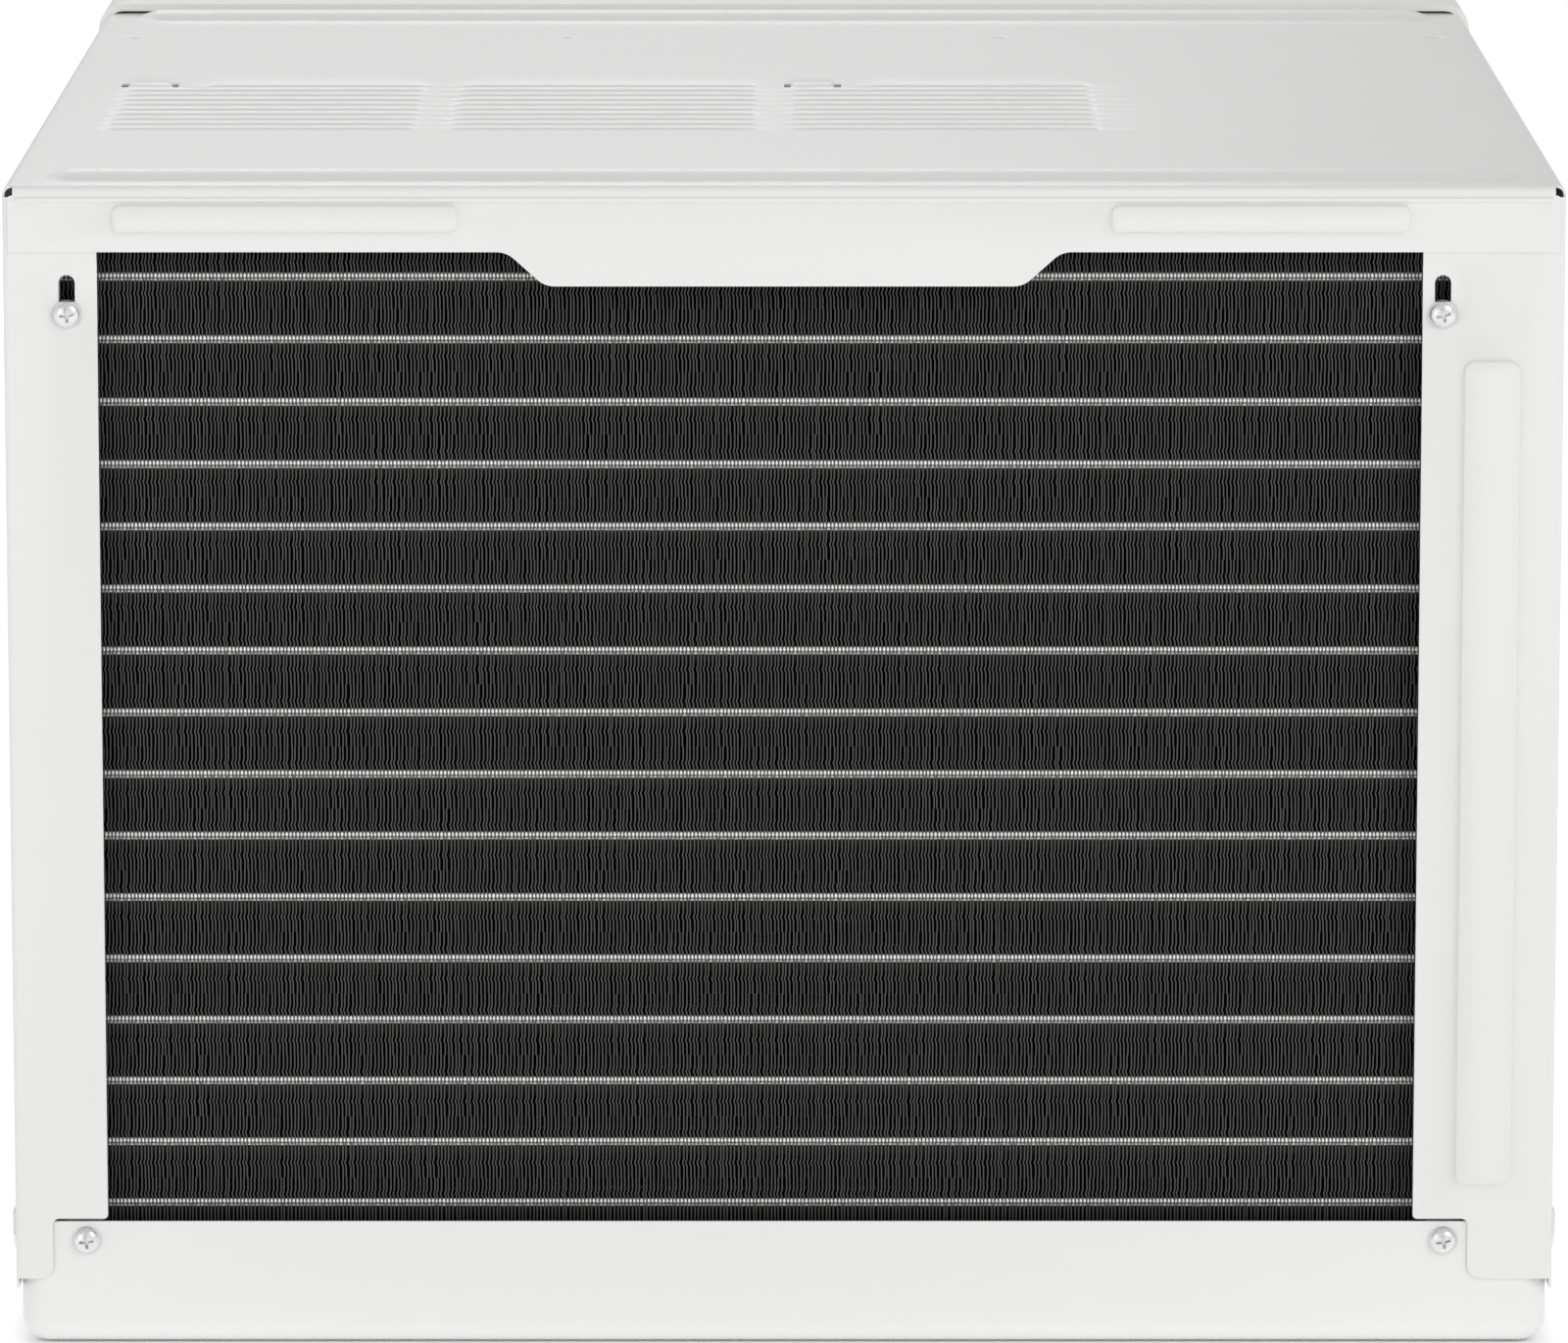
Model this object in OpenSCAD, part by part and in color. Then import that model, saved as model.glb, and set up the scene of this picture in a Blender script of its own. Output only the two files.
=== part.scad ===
// Window air conditioner: through-the-window cooling unit with a slide-in base pan,
// a one-piece wrapper, condenser and evaporator coils, a compressor and a two-ended fan motor.
// +Z is up, the room side faces -Y and the outdoor side faces +Y.
// The origin is the centre of the whole unit's footprint, on the surface it stands on.

/* [Cabinet] */
// Width of the sheet-metal cabinet
cabinet_w = 490; // [475:1:620]
// Height of the cabinet, from the underside of the base pan
cabinet_h = 373; // [360:1:460]
// Depth of the cabinet, without the front bezel
cabinet_d = 495; // [485:1:640]
// Thickness of the cabinet sheet
sheet_t = 0.8; // [0.6:0.1:1.2]
// Radius of the folded top edges
fold_r = 3; // [1.5:0.5:6]
// Height of the lower edge of the side sheets
skirt_z = 18.5; // [10:0.5:25]
// Height of the rear flange across the top
top_flange_h = 20.8; // [15:0.1:30]
// Width of the rear flange at the +X side
left_flange_w = 29.5; // [20:0.5:50]
// Width of the rear flange at the -X side
right_flange_w = 44.6; // [20:0.1:60]

/* [Top sheet] */
// Number of louvre rows in each group
louvre_rows = 10; // [4:1:10]
// Spacing of the louvre rows
louvre_pitch = 13.3; // [11:0.1:16]
// Length of one louvre
louvre_l = 105; // [80:1:110]
// Spacing of the four top-rail holes
rail_pitch = 153.4; // [120:0.1:155]
// Diameter of a top-rail hole
rail_hole_d = 4; // [3:0.1:5]
// Rise of the stiffening beads
bead_h = 3; // [1.5:0.5:3.5]
// Width of the stiffening beads
bead_w = 20; // [12:1:26]

/* [Base pan] */
// Height of the pan's walls
pan_h = 40.5; // [30:0.5:60]
// Thickness of the pan sheet
pan_t = 1; // [0.8:0.1:1.5]
// Radius of the pan's long bottom corners
pan_r = 8; // [4:0.5:12]
// Gap between the pan and the cabinet's side sheets
pan_gap = 0.5; // [0.3:0.1:1.5]

/* [Front bezel] */
// Depth of the plastic bezel in front of the cabinet
bezel_d = 55; // [50:1:80]
// How far the bezel stands proud of the cabinet's sides
bezel_side = 2.5; // [2:0.1:5]
// How far the bezel stands proud of the cabinet's top
bezel_top = 3.5; // [2:0.1:6]
// Wall thickness of the bezel
bezel_t = 2.2; // [1.8:0.1:3]
// How far the bezel's rim wraps over the cabinet
rim_l = 6; // [4:0.5:10]

/* [Coils] */
// Outer diameter of the refrigerant tubes
tube_d = 9.5; // [7:0.1:10]
// Vertical spacing of the tubes
tube_pitch = 20; // [18:0.5:22]
// Spacing of the tube layers through a coil
layer_pitch = 17.5; // [16:0.5:19]
// Number of tubes one above another in the condenser
condenser_rows = 16; // [8:2:16]
// Number of tube layers through the condenser
condenser_layers = 3; // [1:1:3]
// Number of tubes one above another in the evaporator
evaporator_rows = 12; // [6:2:12]
// Number of tube layers through the evaporator
evaporator_layers = 2; // [1:1:2]

/* [Air moving] */
// Radius of the condenser fan over its blade tips
fan_r = 146; // [110:1:148]
// Number of fan blades
fan_blades = 5; // [3:1:7]
// Radius of the blower wheel
wheel_r = 100; // [80:1:102]
// Axial width of the blower wheel
wheel_w = 80; // [60:1:84]
// Number of blower blades
wheel_blades = 36; // [24:1:40]
// Radius of the common motor shaft
shaft_r = 4; // [3:0.5:6]
// Radius of the motor can
motor_r = 56; // [45:1:60]
// Length of the motor can
motor_l = 75; // [55:1:80]

/* [Outlet] */
// Number of horizontal louvre blades
blade_count = 3; // [2:1:3]
// Chord of a horizontal blade
blade_chord = 18; // [12:1:19]
// Chord of a vertical vane
vane_chord = 24; // [16:1:26]

/* [Compressor] */
// Radius of the compressor shell
shell_r = 59; // [45:1:60]
// Height of the compressor shell
shell_h = 208; // [150:1:230]

/* [Controls] */
// Radius of a round push button
button_r = 5; // [3.5:0.5:6]
// Travel of a push button
button_travel = 1; // [0.5:0.1:1.5]
// Travel of the vent lever
lever_travel = 25; // [15:1:30]

/* [Hidden] */
$fn = 48;
eps = 0.01;

// clearances
running = 0.06;    // radial clearance of a turning pin
slip = 0.3;        // clearance between moving or loosely fitted pieces
tube_clear = 0.1;  // radial clearance of a tube in its fins

// fasteners
screw_head_r = 4.6;
screw_head_h = 3.2;
screw_shank_r = 2.4;
screw_shank_l = 5.4;

// planes along Y
overall_d = bezel_d + cabinet_d + screw_head_h - sheet_t;
rear_y = overall_d / 2 - screw_head_h + sheet_t;   // outer face of the top rear flange
front_y = rear_y - cabinet_d;                      // front edge of the cabinet
bezel_y = front_y - bezel_d;                       // front face of the bezel
flange_y = rear_y - sheet_t;                       // outer face of the side flanges
inner_x = cabinet_w / 2 - sheet_t;                 // inside of the side sheets
inner_z = cabinet_h - sheet_t;                     // inside of the top sheet

// base pan
pan_x = inner_x - pan_gap;
pan_rear_y = flange_y - sheet_t - 0.2;
pan_front_y = front_y + 2;
floor_z = pan_t;
pan_inner_x = pan_x - pan_t;

// rear window between the flanges
window_left = cabinet_w / 2 - left_flange_w;
window_right = -cabinet_w / 2 + right_flange_w;
window_top = cabinet_h - top_flange_h;
tab_h = 10.8;
slot_w = 5.1;
slot_top_z = window_top - 7.4;
upper_screw_z = slot_top_z - 12.4;
upper_screw_x = [window_left + 9.5, window_right - 6.3];
lower_screw_z = 34.4;
lower_screw_x = [window_left + 6.9, window_right - 9.7];
side_screw_z = 30.5;
side_screw_y = [rear_y - 22.5, front_y + 30];

// top sheet
bridge_l = 19.4;
louvre_gap = 7.3;
first_louvre_t = 149;
louvre_half = 4.5;
louvre_drop = 3.6;
louvre_left = [for (g = [0:2]) 224.7 * cabinet_w / 490 - g * (louvre_l + louvre_gap)];
rail_y = rear_y - 413.5;
bead_y = [rear_y - 22, rear_y - 476];
bead_end = 12.5;

// rear flanges
tab_half = [87, 75];
foot_low_z = 21.9;
foot_top_z = 41.5;
foot_x = [window_left + 17.6, window_right - 17.5];
emboss_rise = 1;
emboss_z = [cabinet_h - 14.9, cabinet_h - 5.5];
emboss_x = [[101.7, 210.9], [-196.5, -102]];
side_emboss_x = [window_right - 31.4, window_right - 12.7];
side_emboss_z = [52.4, cabinet_h - 54.8];

// side slots
side_slot_y = [50, 130];
side_slot_l = 70;
side_slot_z = 100;
side_slot_pitch = 14;
side_slot_h = 3;

// drain
drain_at = [150, 240];
drain_r = 6.5;

// condenser
coil_face_y = pan_rear_y - pan_t - 4;
condenser_d = condenser_layers * layer_pitch + 3.5;
condenser_y = coil_face_y - condenser_d;
condenser_x = [window_right - 11.5, window_left + 12];
condenser_tube_z = 42.3;
condenser_top = condenser_tube_z + (condenser_rows - 1) * tube_pitch + 10;
plate_top_z = max(condenser_top + 2, upper_screw_z + 4);
plate_t = 1;

// evaporator
evaporator_y = front_y + 7;
evaporator_d = evaporator_layers * layer_pitch + 5;
evaporator_x = [31 - cabinet_w / 2, cabinet_w / 2 - 31];
evaporator_tube_z = 44;
evaporator_top = evaporator_tube_z + (evaporator_rows - 1) * tube_pitch + 10;

// air path
fan_z = 172;
bulkhead_t = 1;
bulkhead_y = -51;
duct_z = cabinet_h - 83;
duct_t = 1.5;
duct_top_z = cabinet_h - 9;
duct_x = [19 - cabinet_w / 2, cabinet_w / 2 - 133];
duct_front_y = bezel_y + 21;
housing_t = 1.5;
housing_front_y = bulkhead_y - wheel_w - 22.5;
scroll_r0 = wheel_r + 8;
scroll_growth = 38;
scroll_sweep = 285;
tongue_angle = 105;
shroud_t = 1.5;
shroud_y = condenser_y - 43;
orifice_r = fan_r + 3;
fan_y = shroud_y - 18;
slinger_l = 32;
wheel_y = housing_front_y + 5;

// motor
motor_y = 30;
boss_r = 20;
boss_l = 8;

// louvre blades and vanes
pin_r = 1.5;
blade_t = 1.6;
blade_pitch = 20;
mouth_z = [duct_z + 4, cabinet_h - 13];
mouth_x = [duct_x[0] + 4, duct_x[1] - 4];
blade_y = bezel_y + 12.2;
blade_z = [for (k = [0:blade_count - 1]) (mouth_z[0] + mouth_z[1]) / 2 + (k - (blade_count - 1)
    / 2) * blade_pitch];
link_x = -58;
link_t = 1.5;
link_half = 2.5;
blade_crank = 6.5;
vane_t = 1.5;
vane_y = duct_front_y + 14;
vane_pitch = (mouth_x[1] - mouth_x[0]) / 8;
vane_x = [for (k = [0:7]) mouth_x[0] + (k + 0.5) * vane_pitch];
vane_crank = 8;
tie_z = duct_z + 11;

// intake grille and filter
intake_x = cabinet_w / 2 - 23;
intake_z = [28, duct_z - 8];
grille_t = 5.4;
grille_hinge_y = bezel_y + 2.2;
grille_hinge_z = intake_z[1] - 3.4;
grille_pin_r = 1.3;
filter_t = 5;
filter_y = bezel_y + 37;
filter_z = [30.5, intake_z[1] - 0.5];

// gland for the supply lead
gland_y = front_y - 20;
gland_z = 15;
gland_r = 5;
gland_l = 8;

// control panel
panel_x = [duct_x[1] + 12, cabinet_w / 2 - 9];
panel_z = [duct_z + 2, cabinet_h - 11];
fascia_y = bezel_y + 1;
fascia_t = 2.5;
board_y = fascia_y + 13;
button_x = [panel_x[0] + 26, panel_x[0] + 56, panel_x[0] + 86];
button_z = [panel_z[0] + 11, panel_z[0] + 27];
display_x = [panel_x[0] + 21, panel_x[0] + 91];
display_z = [panel_z[0] + 42, panel_z[0] + 62];
lever_x = panel_x[0] + 7.5;
lever_z = panel_z[0] + 10;

// compressor
compressor_at = [85 - cabinet_w / 2, 75];
foot_r = 68;
foot_z = 20;
foot_angles = [90, 210, 330];
grommet_r = 11;
stud_r = 4;
accumulator_r = 24;
accumulator_gap = 5;
accumulator_at = [compressor_at[0], compressor_at[1] - shell_r - accumulator_gap - accumulator_r];

// pipes
header_x = 9 - cabinet_w / 2;
riser_x = header_x + 36;
pipe_r = 4.5;
suction_r = 5.5;
capillary_r = 1.2;

// vent door in the bulkhead
vent_x = [panel_x[0] + 26, panel_x[0] + 86];
vent_z = [duct_z - 75, duct_z - 25];
vent_door_t = 1.5;
vent_hinge_z = vent_z[1] + 4;
vent_hinge_y = bulkhead_y - 1.4;

// helpers

// box between two opposite corners
module box(low, high) {
    translate(low) cube(high - low);
}

// a 2D outline drawn in X and Z, pulled along Y
module along_y(y0, y1) {
    translate([0, y1, 0]) rotate([90, 0, 0]) linear_extrude(y1 - y0) children();
}

// a 2D outline drawn in Y and Z, pulled along X
module along_x(x0, x1) {
    translate([x0, 0, 0]) rotate([90, 0, 90]) linear_extrude(x1 - x0) children();
}

// round rod along Y
module rod_y(x, z, y0, y1, r) {
    translate([x, y0, z]) rotate([-90, 0, 0]) cylinder(h = y1 - y0, r = r);
}

// round rod along X
module rod_x(y, z, x0, x1, r) {
    translate([x0, y, z]) rotate([0, 90, 0]) cylinder(h = x1 - x0, r = r);
}

// rectangle with two rounded upper corners
module arch(w, z0, z1, r) {
    translate([-w / 2, z0]) square([w, z1 - r - z0]);
    translate([-w / 2 + r, z0]) square([w - 2 * r, z1 - z0]);
    for (s = [-1, 1]) translate([s * (w / 2 - r), z1 - r]) circle(r);
}

// rectangle with two rounded lower corners
module trough(w, z0, z1, r) {
    translate([-w / 2, z0 + r]) square([w, z1 - z0 - r]);
    translate([-w / 2 + r, z0]) square([w - 2 * r, z1 - z0]);
    for (s = [-1, 1]) translate([s * (w / 2 - r), z0 + r]) circle(r);
}

// straight round tube lengths with a ball at each corner
module pipe(points, r) {
    for (i = [1:len(points) - 1]) {
        p = points[i - 1];
        v = points[i] - p;
        translate(p) rotate([0, acos(v[2] / norm(v)), atan2(v[1], v[0])]) cylinder(h = norm(v), r = r);
    }
    if (len(points) > 2)
        for (i = [1:len(points) - 2]) {
            back = (points[i] - points[i - 1]) / norm(points[i] - points[i - 1]);
            ahead = (points[i + 1] - points[i]) / norm(points[i + 1] - points[i]);
            free = back - ahead;
            translate(points[i]) rotate([0, 0, atan2(free[1], free[0])]) sphere(r + 0.3);
        }
}

// pan-head screw that points along -Y, its head standing on y = 0
module pan_screw(shank_l) {
    rotate([90, 0, 0]) {
        translate([0, 0, -screw_head_h]) cylinder(h = screw_head_h, r = screw_head_r);
        translate([0, 0, -eps]) cylinder(h = shank_l + eps, r = screw_shank_r);
    }
}

// everything that turns on the common shaft is drawn with +Z along the shaft
module on_shaft(y) {
    translate([0, y, fan_z]) rotate([-90, 0, 0]) children();
}

// centres of a coil's tubes, as [y, z]
function tube_centres(y0, layers, z0, rows) =
    [for (j = [0:layers - 1]) for (k = [0:rows - 1]) [y0 + (j + 0.5)
        * layer_pitch, z0 + k * tube_pitch]];

module coil_bores(centres, x0, x1) {
    for (c = centres) rod_x(c[0], c[1], x0, x1, tube_d / 2 + tube_clear);
}

// tubes with a return bend at alternate ends; the first and last tube stay open at the -X end
module coil_tubes(y0, layers, z0, rows, x0, x1, open_x) {
    for (j = [0:layers - 1], k = [0:rows - 1]) {
        y = y0 + (j + 0.5) * layer_pitch;
        z = z0 + k * tube_pitch;
        is_end = k == 0 || k == rows - 1;
        rod_x(y, z, is_end ? open_x : x0, x1, tube_d / 2);
        if (k < rows - 1) {
            bend_x = k % 2 == 0 ? x1 : x0;
            side = k % 2 == 0 ? 1 : -1;
            translate([bend_x, y, z + tube_pitch / 2]) rotate([90, 0, 0])
                rotate([0, 0, side * 90 - 180])
                rotate_extrude(angle = 180) translate([tube_pitch / 2, 0]) circle(tube_d / 2);
        }
    }
}

// cabinet

module louvre(x0, x1, y) {
    low_y = y + louvre_half - 1;
    along_x(x0, x1) polygon([
        [y - louvre_half, cabinet_h], [low_y, cabinet_h - louvre_drop - sheet_t],
        [low_y, cabinet_h - louvre_drop - 2 * sheet_t], [y - louvre_half, inner_z]
    ]);
}

module louvre_cut(x0, x1, y) {
    box([x0, y - louvre_half, inner_z - 1], [x1, y + louvre_half, cabinet_h + 1]);
}

// the far row of the outer groups starts beyond a raised bridge
function louvre_start(g, k) = louvre_left[g] - (k == louvre_rows - 1 && g != 1 ? bridge_l + 6.5 : 0);
function louvre_y(k) = rear_y - first_louvre_t - k * louvre_pitch;

module bead(y) {
    big_r = (pow(bead_w / 2, 2) + pow(bead_h, 2)) / (2 * bead_h);
    x = cabinet_w / 2 - bead_end;
    along_x(-x, x) difference() {
        intersection() {
            translate([y, cabinet_h + bead_h - big_r]) circle(big_r);
            translate([y - bead_w / 2, cabinet_h]) square([bead_w, bead_h]);
        }
        intersection() {
            translate([y, cabinet_h + bead_h - big_r]) circle(big_r - sheet_t);
            translate([y - bead_w / 2, cabinet_h - 1]) square([bead_w, bead_h]);
        }
    }
}

module bridge(x1) {
    y = louvre_y(louvre_rows - 1);
    difference() {
        box([x1 - bridge_l, y - louvre_half, inner_z], [x1, y + louvre_half, cabinet_h + 3]);
        box([x1 - bridge_l - 1, y - 3.7, inner_z - 1], [x1 + 1, y + 3.7, cabinet_h + 2.2]);
    }
}

module rear_flanges() {
    top_x = cabinet_w / 2 - 1.8;
    box([-top_x, flange_y, window_top], [top_x, rear_y, cabinet_h]);
    along_y(flange_y, rear_y) polygon([
        [-tab_half[0], window_top], [-tab_half[1], window_top - tab_h],
        [tab_half[1], window_top - tab_h], [tab_half[0], window_top]
    ]);
    // side flanges, one sheet further in, each with a narrower foot
    for (f = [[window_left, inner_x], [-inner_x, window_right]])
        box([f[0], flange_y - sheet_t, foot_top_z], [f[1], flange_y, inner_z]);
    for (f = [[foot_x[0], inner_x], [-inner_x, foot_x[1]]])
        box([f[0], flange_y - sheet_t, foot_low_z], [f[1], flange_y, foot_top_z + 0.5]);
    // raised panels
    for (x = emboss_x) box([x[0], rear_y - eps, emboss_z[0]],
        [x[1], rear_y + emboss_rise, emboss_z[1]]);
    box([side_emboss_x[0], flange_y - eps, side_emboss_z[0]],
        [side_emboss_x[1], flange_y + emboss_rise, side_emboss_z[1]]);
}

module cabinet_openings() {
    outside_x = cabinet_w / 2 + 1;
    last = louvre_y(louvre_rows - 1);
    for (g = [0:2], k = [0:louvre_rows - 1])
        louvre_cut(louvre_left[g] - louvre_l, louvre_start(g, k), louvre_y(k));
    for (g = [0, 2]) louvre_cut(louvre_left[g] - bridge_l, louvre_left[g], last);
    for (k = [-1.5:1.5])
        translate([k * rail_pitch, rail_y, inner_z - 1]) cylinder(h = 4, d = rail_hole_d);
    for (x = upper_screw_x) {
        high_z = slot_top_z - slot_w / 2;
        box([x - slot_w / 2, flange_y - 2, upper_screw_z], [x + slot_w / 2, rear_y + 1, high_z]);
        for (z = [upper_screw_z, high_z]) rod_y(x, z, flange_y - 2, rear_y + 1, slot_w / 2);
    }
    for (y = side_screw_y) rod_x(y, side_screw_z, -cabinet_w, cabinet_w, screw_shank_r + 0.1);
    for (y = side_slot_y, k = [0:11]) {
        z = side_slot_z + k * side_slot_pitch;
        box([-outside_x, y, z], [outside_x, y + side_slot_l, z + side_slot_h]);
    }
    for (y = bead_y)
        box([1 + bead_end - cabinet_w / 2, y - bead_w / 2 + 3, inner_z - 1],
            [cabinet_w / 2 - bead_end - 1, y + bead_w / 2 - 3, cabinet_h + 1]);
}

module outer_cabinet() {
    color([0.88, 0.88, 0.87]) {
        difference() {
            union() {
                along_y(front_y, flange_y) difference() {
                    arch(cabinet_w, skirt_z, cabinet_h, fold_r);
                    arch(2 * inner_x, skirt_z - 1, inner_z, fold_r - sheet_t);
                }
                rear_flanges();
            }
            cabinet_openings();
        }
        for (g = [0:2], k = [0:louvre_rows - 1])
            louvre(louvre_left[g] - louvre_l, louvre_start(g, k), louvre_y(k));
        for (g = [0, 2]) bridge(louvre_left[g]);
        for (y = bead_y) bead(y);
    }
}

module rear_screws() {
    color([0.82, 0.82, 0.84]) {
        for (x = upper_screw_x) translate([x, flange_y, upper_screw_z]) pan_screw(screw_shank_l);
        for (x = lower_screw_x) translate([x, pan_rear_y, lower_screw_z])
            pan_screw(screw_shank_l - 0.8);
    }
}

module side_screws() {
    color([0.82, 0.82, 0.84]) for (s = [0, 1], y = side_screw_y) mirror([s, 0, 0])
        translate([cabinet_w / 2, y, side_screw_z]) rotate([0, 90, 0]) {
            cylinder(h = bezel_side - 0.2, r = screw_head_r);
            translate([0, 0, -screw_shank_l]) cylinder(h = screw_shank_l + eps, r = screw_shank_r);
        }
}

module base_pan() {
    color([0.92, 0.92, 0.91]) difference() {
        along_y(pan_front_y, pan_rear_y) trough(2 * pan_x, 0, pan_h, pan_r);
        along_y(pan_front_y + pan_t, pan_rear_y - pan_t)
            trough(2 * pan_inner_x, pan_t, pan_h + 1, pan_r - pan_t);
        for (x = lower_screw_x)
            rod_y(x, lower_screw_z, pan_rear_y - 3, pan_rear_y + 1, screw_shank_r + 0.1);
        for (y = side_screw_y) rod_x(y, side_screw_z, -cabinet_w, cabinet_w, screw_shank_r + 0.1);
        translate([drain_at[0], drain_at[1], -1]) cylinder(h = pan_t + 2, r = drain_r);
    }
}

module drain_plug() {
    color([0.12, 0.12, 0.12]) translate([drain_at[0], drain_at[1], 0]) {
        cylinder(h = floor_z + 2, r = drain_r - 0.1);
        translate([0, 0, floor_z]) cylinder(h = 2, r = drain_r + 3);
    }
}

// condenser side

module coil_clip(x, z, half_w, low, high, rear) {
    plate_x = x > 0 ? condenser_x[1] + plate_t : condenser_x[0] - plate_t;
    difference() {
        box([min(x - half_w, plate_x), coil_face_y, z - low],
            [max(x + half_w, plate_x), rear, z + high]);
        rod_y(x, z, coil_face_y - 1, flange_y, screw_shank_r + 0.1);
    }
}

module coil_clips() {
    color([0.7, 0.71, 0.72]) {
        for (x = upper_screw_x) coil_clip(x, upper_screw_z, 4.5, 8, 4, flange_y - sheet_t);
        for (x = lower_screw_x) coil_clip(x, lower_screw_z, 5, 6, 6, pan_rear_y - pan_t);
    }
}

condenser_centres = tube_centres(condenser_y + 1.75, condenser_layers, condenser_tube_z,
    condenser_rows);
evaporator_centres = tube_centres(evaporator_y + 2.5, evaporator_layers, evaporator_tube_z,
    evaporator_rows);

module condenser_fins() {
    color([0.6, 0.61, 0.63]) difference() {
        box([condenser_x[0], condenser_y, 32], [condenser_x[1], coil_face_y, condenser_top]);
        coil_bores(condenser_centres, condenser_x[0] - 1, condenser_x[1] + 1);
    }
}

module condenser_tubes() {
    color([0.78, 0.5, 0.34])
        coil_tubes(condenser_y + 1.75, condenser_layers, condenser_tube_z, condenser_rows,
        condenser_x[0] - plate_t, condenser_x[1] + plate_t, header_x + pipe_r);
}

module condenser_end_plates() {
    color([0.72, 0.73, 0.74]) difference() {
        union() {
            box([condenser_x[1], condenser_y, floor_z],
                [condenser_x[1] + plate_t, coil_face_y, plate_top_z]);
            box([condenser_x[0] - plate_t, condenser_y, floor_z],
                [condenser_x[0], coil_face_y, plate_top_z]);
        }
        coil_bores(condenser_centres, condenser_x[0] - 3, condenser_x[1] + 3);
    }
}

module fan_shroud() {
    low_x = condenser_x[0] - plate_t;
    high_x = condenser_x[1] + plate_t;
    top_z = plate_top_z;
    color([0.2, 0.2, 0.21]) difference() {
        union() {
            box([low_x, shroud_y, floor_z], [high_x, shroud_y + shroud_t, top_z]);
            box([low_x, shroud_y, floor_z], [low_x + shroud_t, condenser_y, top_z]);
            box([high_x - shroud_t, shroud_y, floor_z], [high_x, condenser_y, top_z]);
            box([low_x, shroud_y, top_z - shroud_t], [high_x, condenser_y, top_z]);
            on_shaft(shroud_y - 16) cylinder(h = 16 + shroud_t, r = orifice_r + shroud_t, $fn = 96);
        }
        on_shaft(shroud_y - 20) cylinder(h = 30, r = orifice_r, $fn = 96);
        // the mouth ring is cut flat just above the pan floor
        box([-200, shroud_y - 30, -10], [200, shroud_y + 10, floor_z]);
    }
}

module condenser_fan() {
    hub_l = 40;
    chord = 88;
    tilt = 27;
    color([0.15, 0.15, 0.16]) on_shaft(fan_y) difference() {
        union() {
            cylinder(h = hub_l, r = 32);
            intersection() {
                for (i = [0:fan_blades - 1]) rotate([0, 0, i * 360 / fan_blades])
                    translate([0, 0, hub_l / 2 + 3])
                    rotate([tilt, 0, 0]) translate([28, -chord / 2, -1]) cube([fan_r, chord, 2]);
                translate([0, 0, -20]) cylinder(h = 90, r = fan_r, $fn = 96);
            }
            // slinger ring that dips into the condensate
            translate([0, 0, slinger_l]) difference() {
                cylinder(h = 10, r = fan_r + 6, $fn = 96);
                translate([0, 0, -1]) cylinder(h = 12, r = fan_r - 2, $fn = 96);
            }
        }
        translate([0, 0, -1]) cylinder(h = hub_l + 2, r = shaft_r + 0.05);
    }
}

module motor_shaft() {
    color([0.75, 0.76, 0.78]) rod_y(0, fan_z, bulkhead_y - 60, fan_y + 40, shaft_r);
}

module fan_motor() {
    color([0.35, 0.36, 0.38]) on_shaft(motor_y) difference() {
        union() {
            cylinder(h = motor_l, r = motor_r);
            translate([0, 0, motor_l / 2 - 8]) cylinder(h = 16, r = motor_r + 2);
            translate([0, 0, -boss_l]) cylinder(h = motor_l + 2 * boss_l, r = boss_r);
            for (a = [45:90:315]) rotate([0, 0, a]) translate([motor_r - 9, 0, -10])
                cylinder(h = 12, r = 2.5);
        }
        translate([0, 0, -20]) cylinder(h = motor_l + 40, r = shaft_r + running);
    }
}

module motor_bracket() {
    color([0.72, 0.73, 0.74]) difference() {
        union() {
            box([-62, motor_y - 3, floor_z], [62, motor_y, fan_z + 52]);
            box([-62, motor_y - 3, floor_z], [62, motor_y + 70, floor_z + 3]);
            for (s = [-1, 1]) translate([s * 60.5, 0, 0]) along_x(-1.5, 1.5)
                polygon([[motor_y, floor_z], [motor_y + 68, floor_z],
                    [motor_y + 68, floor_z + 12], [motor_y, fan_z - 62]]);
        }
        on_shaft(motor_y - 10) {
            cylinder(h = 12, r = boss_r + 1);
            for (a = [45:90:315]) rotate([0, 0, a]) translate([motor_r - 9, 0, 0])
                cylinder(h = 12, r = 2.7);
        }
    }
}

module motor_nuts() {
    color([0.8, 0.8, 0.82]) on_shaft(motor_y - 7) for (a = [45:90:315])
        rotate([0, 0, a]) translate([motor_r - 9, 0, 0]) difference() {
            cylinder(h = 4, r = 5, $fn = 6);
            translate([0, 0, -1]) cylinder(h = 6, r = 2.6);
        }
}

// room side

module bulkhead() {
    x = pan_inner_x - slip;
    color([0.8, 0.81, 0.82]) difference() {
        union() {
            along_y(bulkhead_y, bulkhead_y + bulkhead_t)
                trough(2 * x, floor_z, inner_z - slip, pan_r - pan_t);
            for (e = [vent_x[0] - 7, vent_x[1] + 4])
                box([e, bulkhead_y - 4, vent_hinge_z - 4], [e + 3, bulkhead_y, vent_hinge_z + 4]);
        }
        on_shaft(bulkhead_y - 1) cylinder(h = 4, r = 14);
        rod_y(riser_x, evaporator_top - 10, bulkhead_y - 1, bulkhead_y + 3, 10);
        rod_y(riser_x, 150, bulkhead_y - 1, bulkhead_y + 3, 6);
        box([vent_x[0], bulkhead_y - 1, vent_z[0]], [vent_x[1], bulkhead_y + 3, vent_z[1]]);
        rod_x(vent_hinge_y, vent_hinge_z, vent_x[0] - 10, vent_x[1] + 10, pin_r - 0.5 + running);
    }
}

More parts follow.
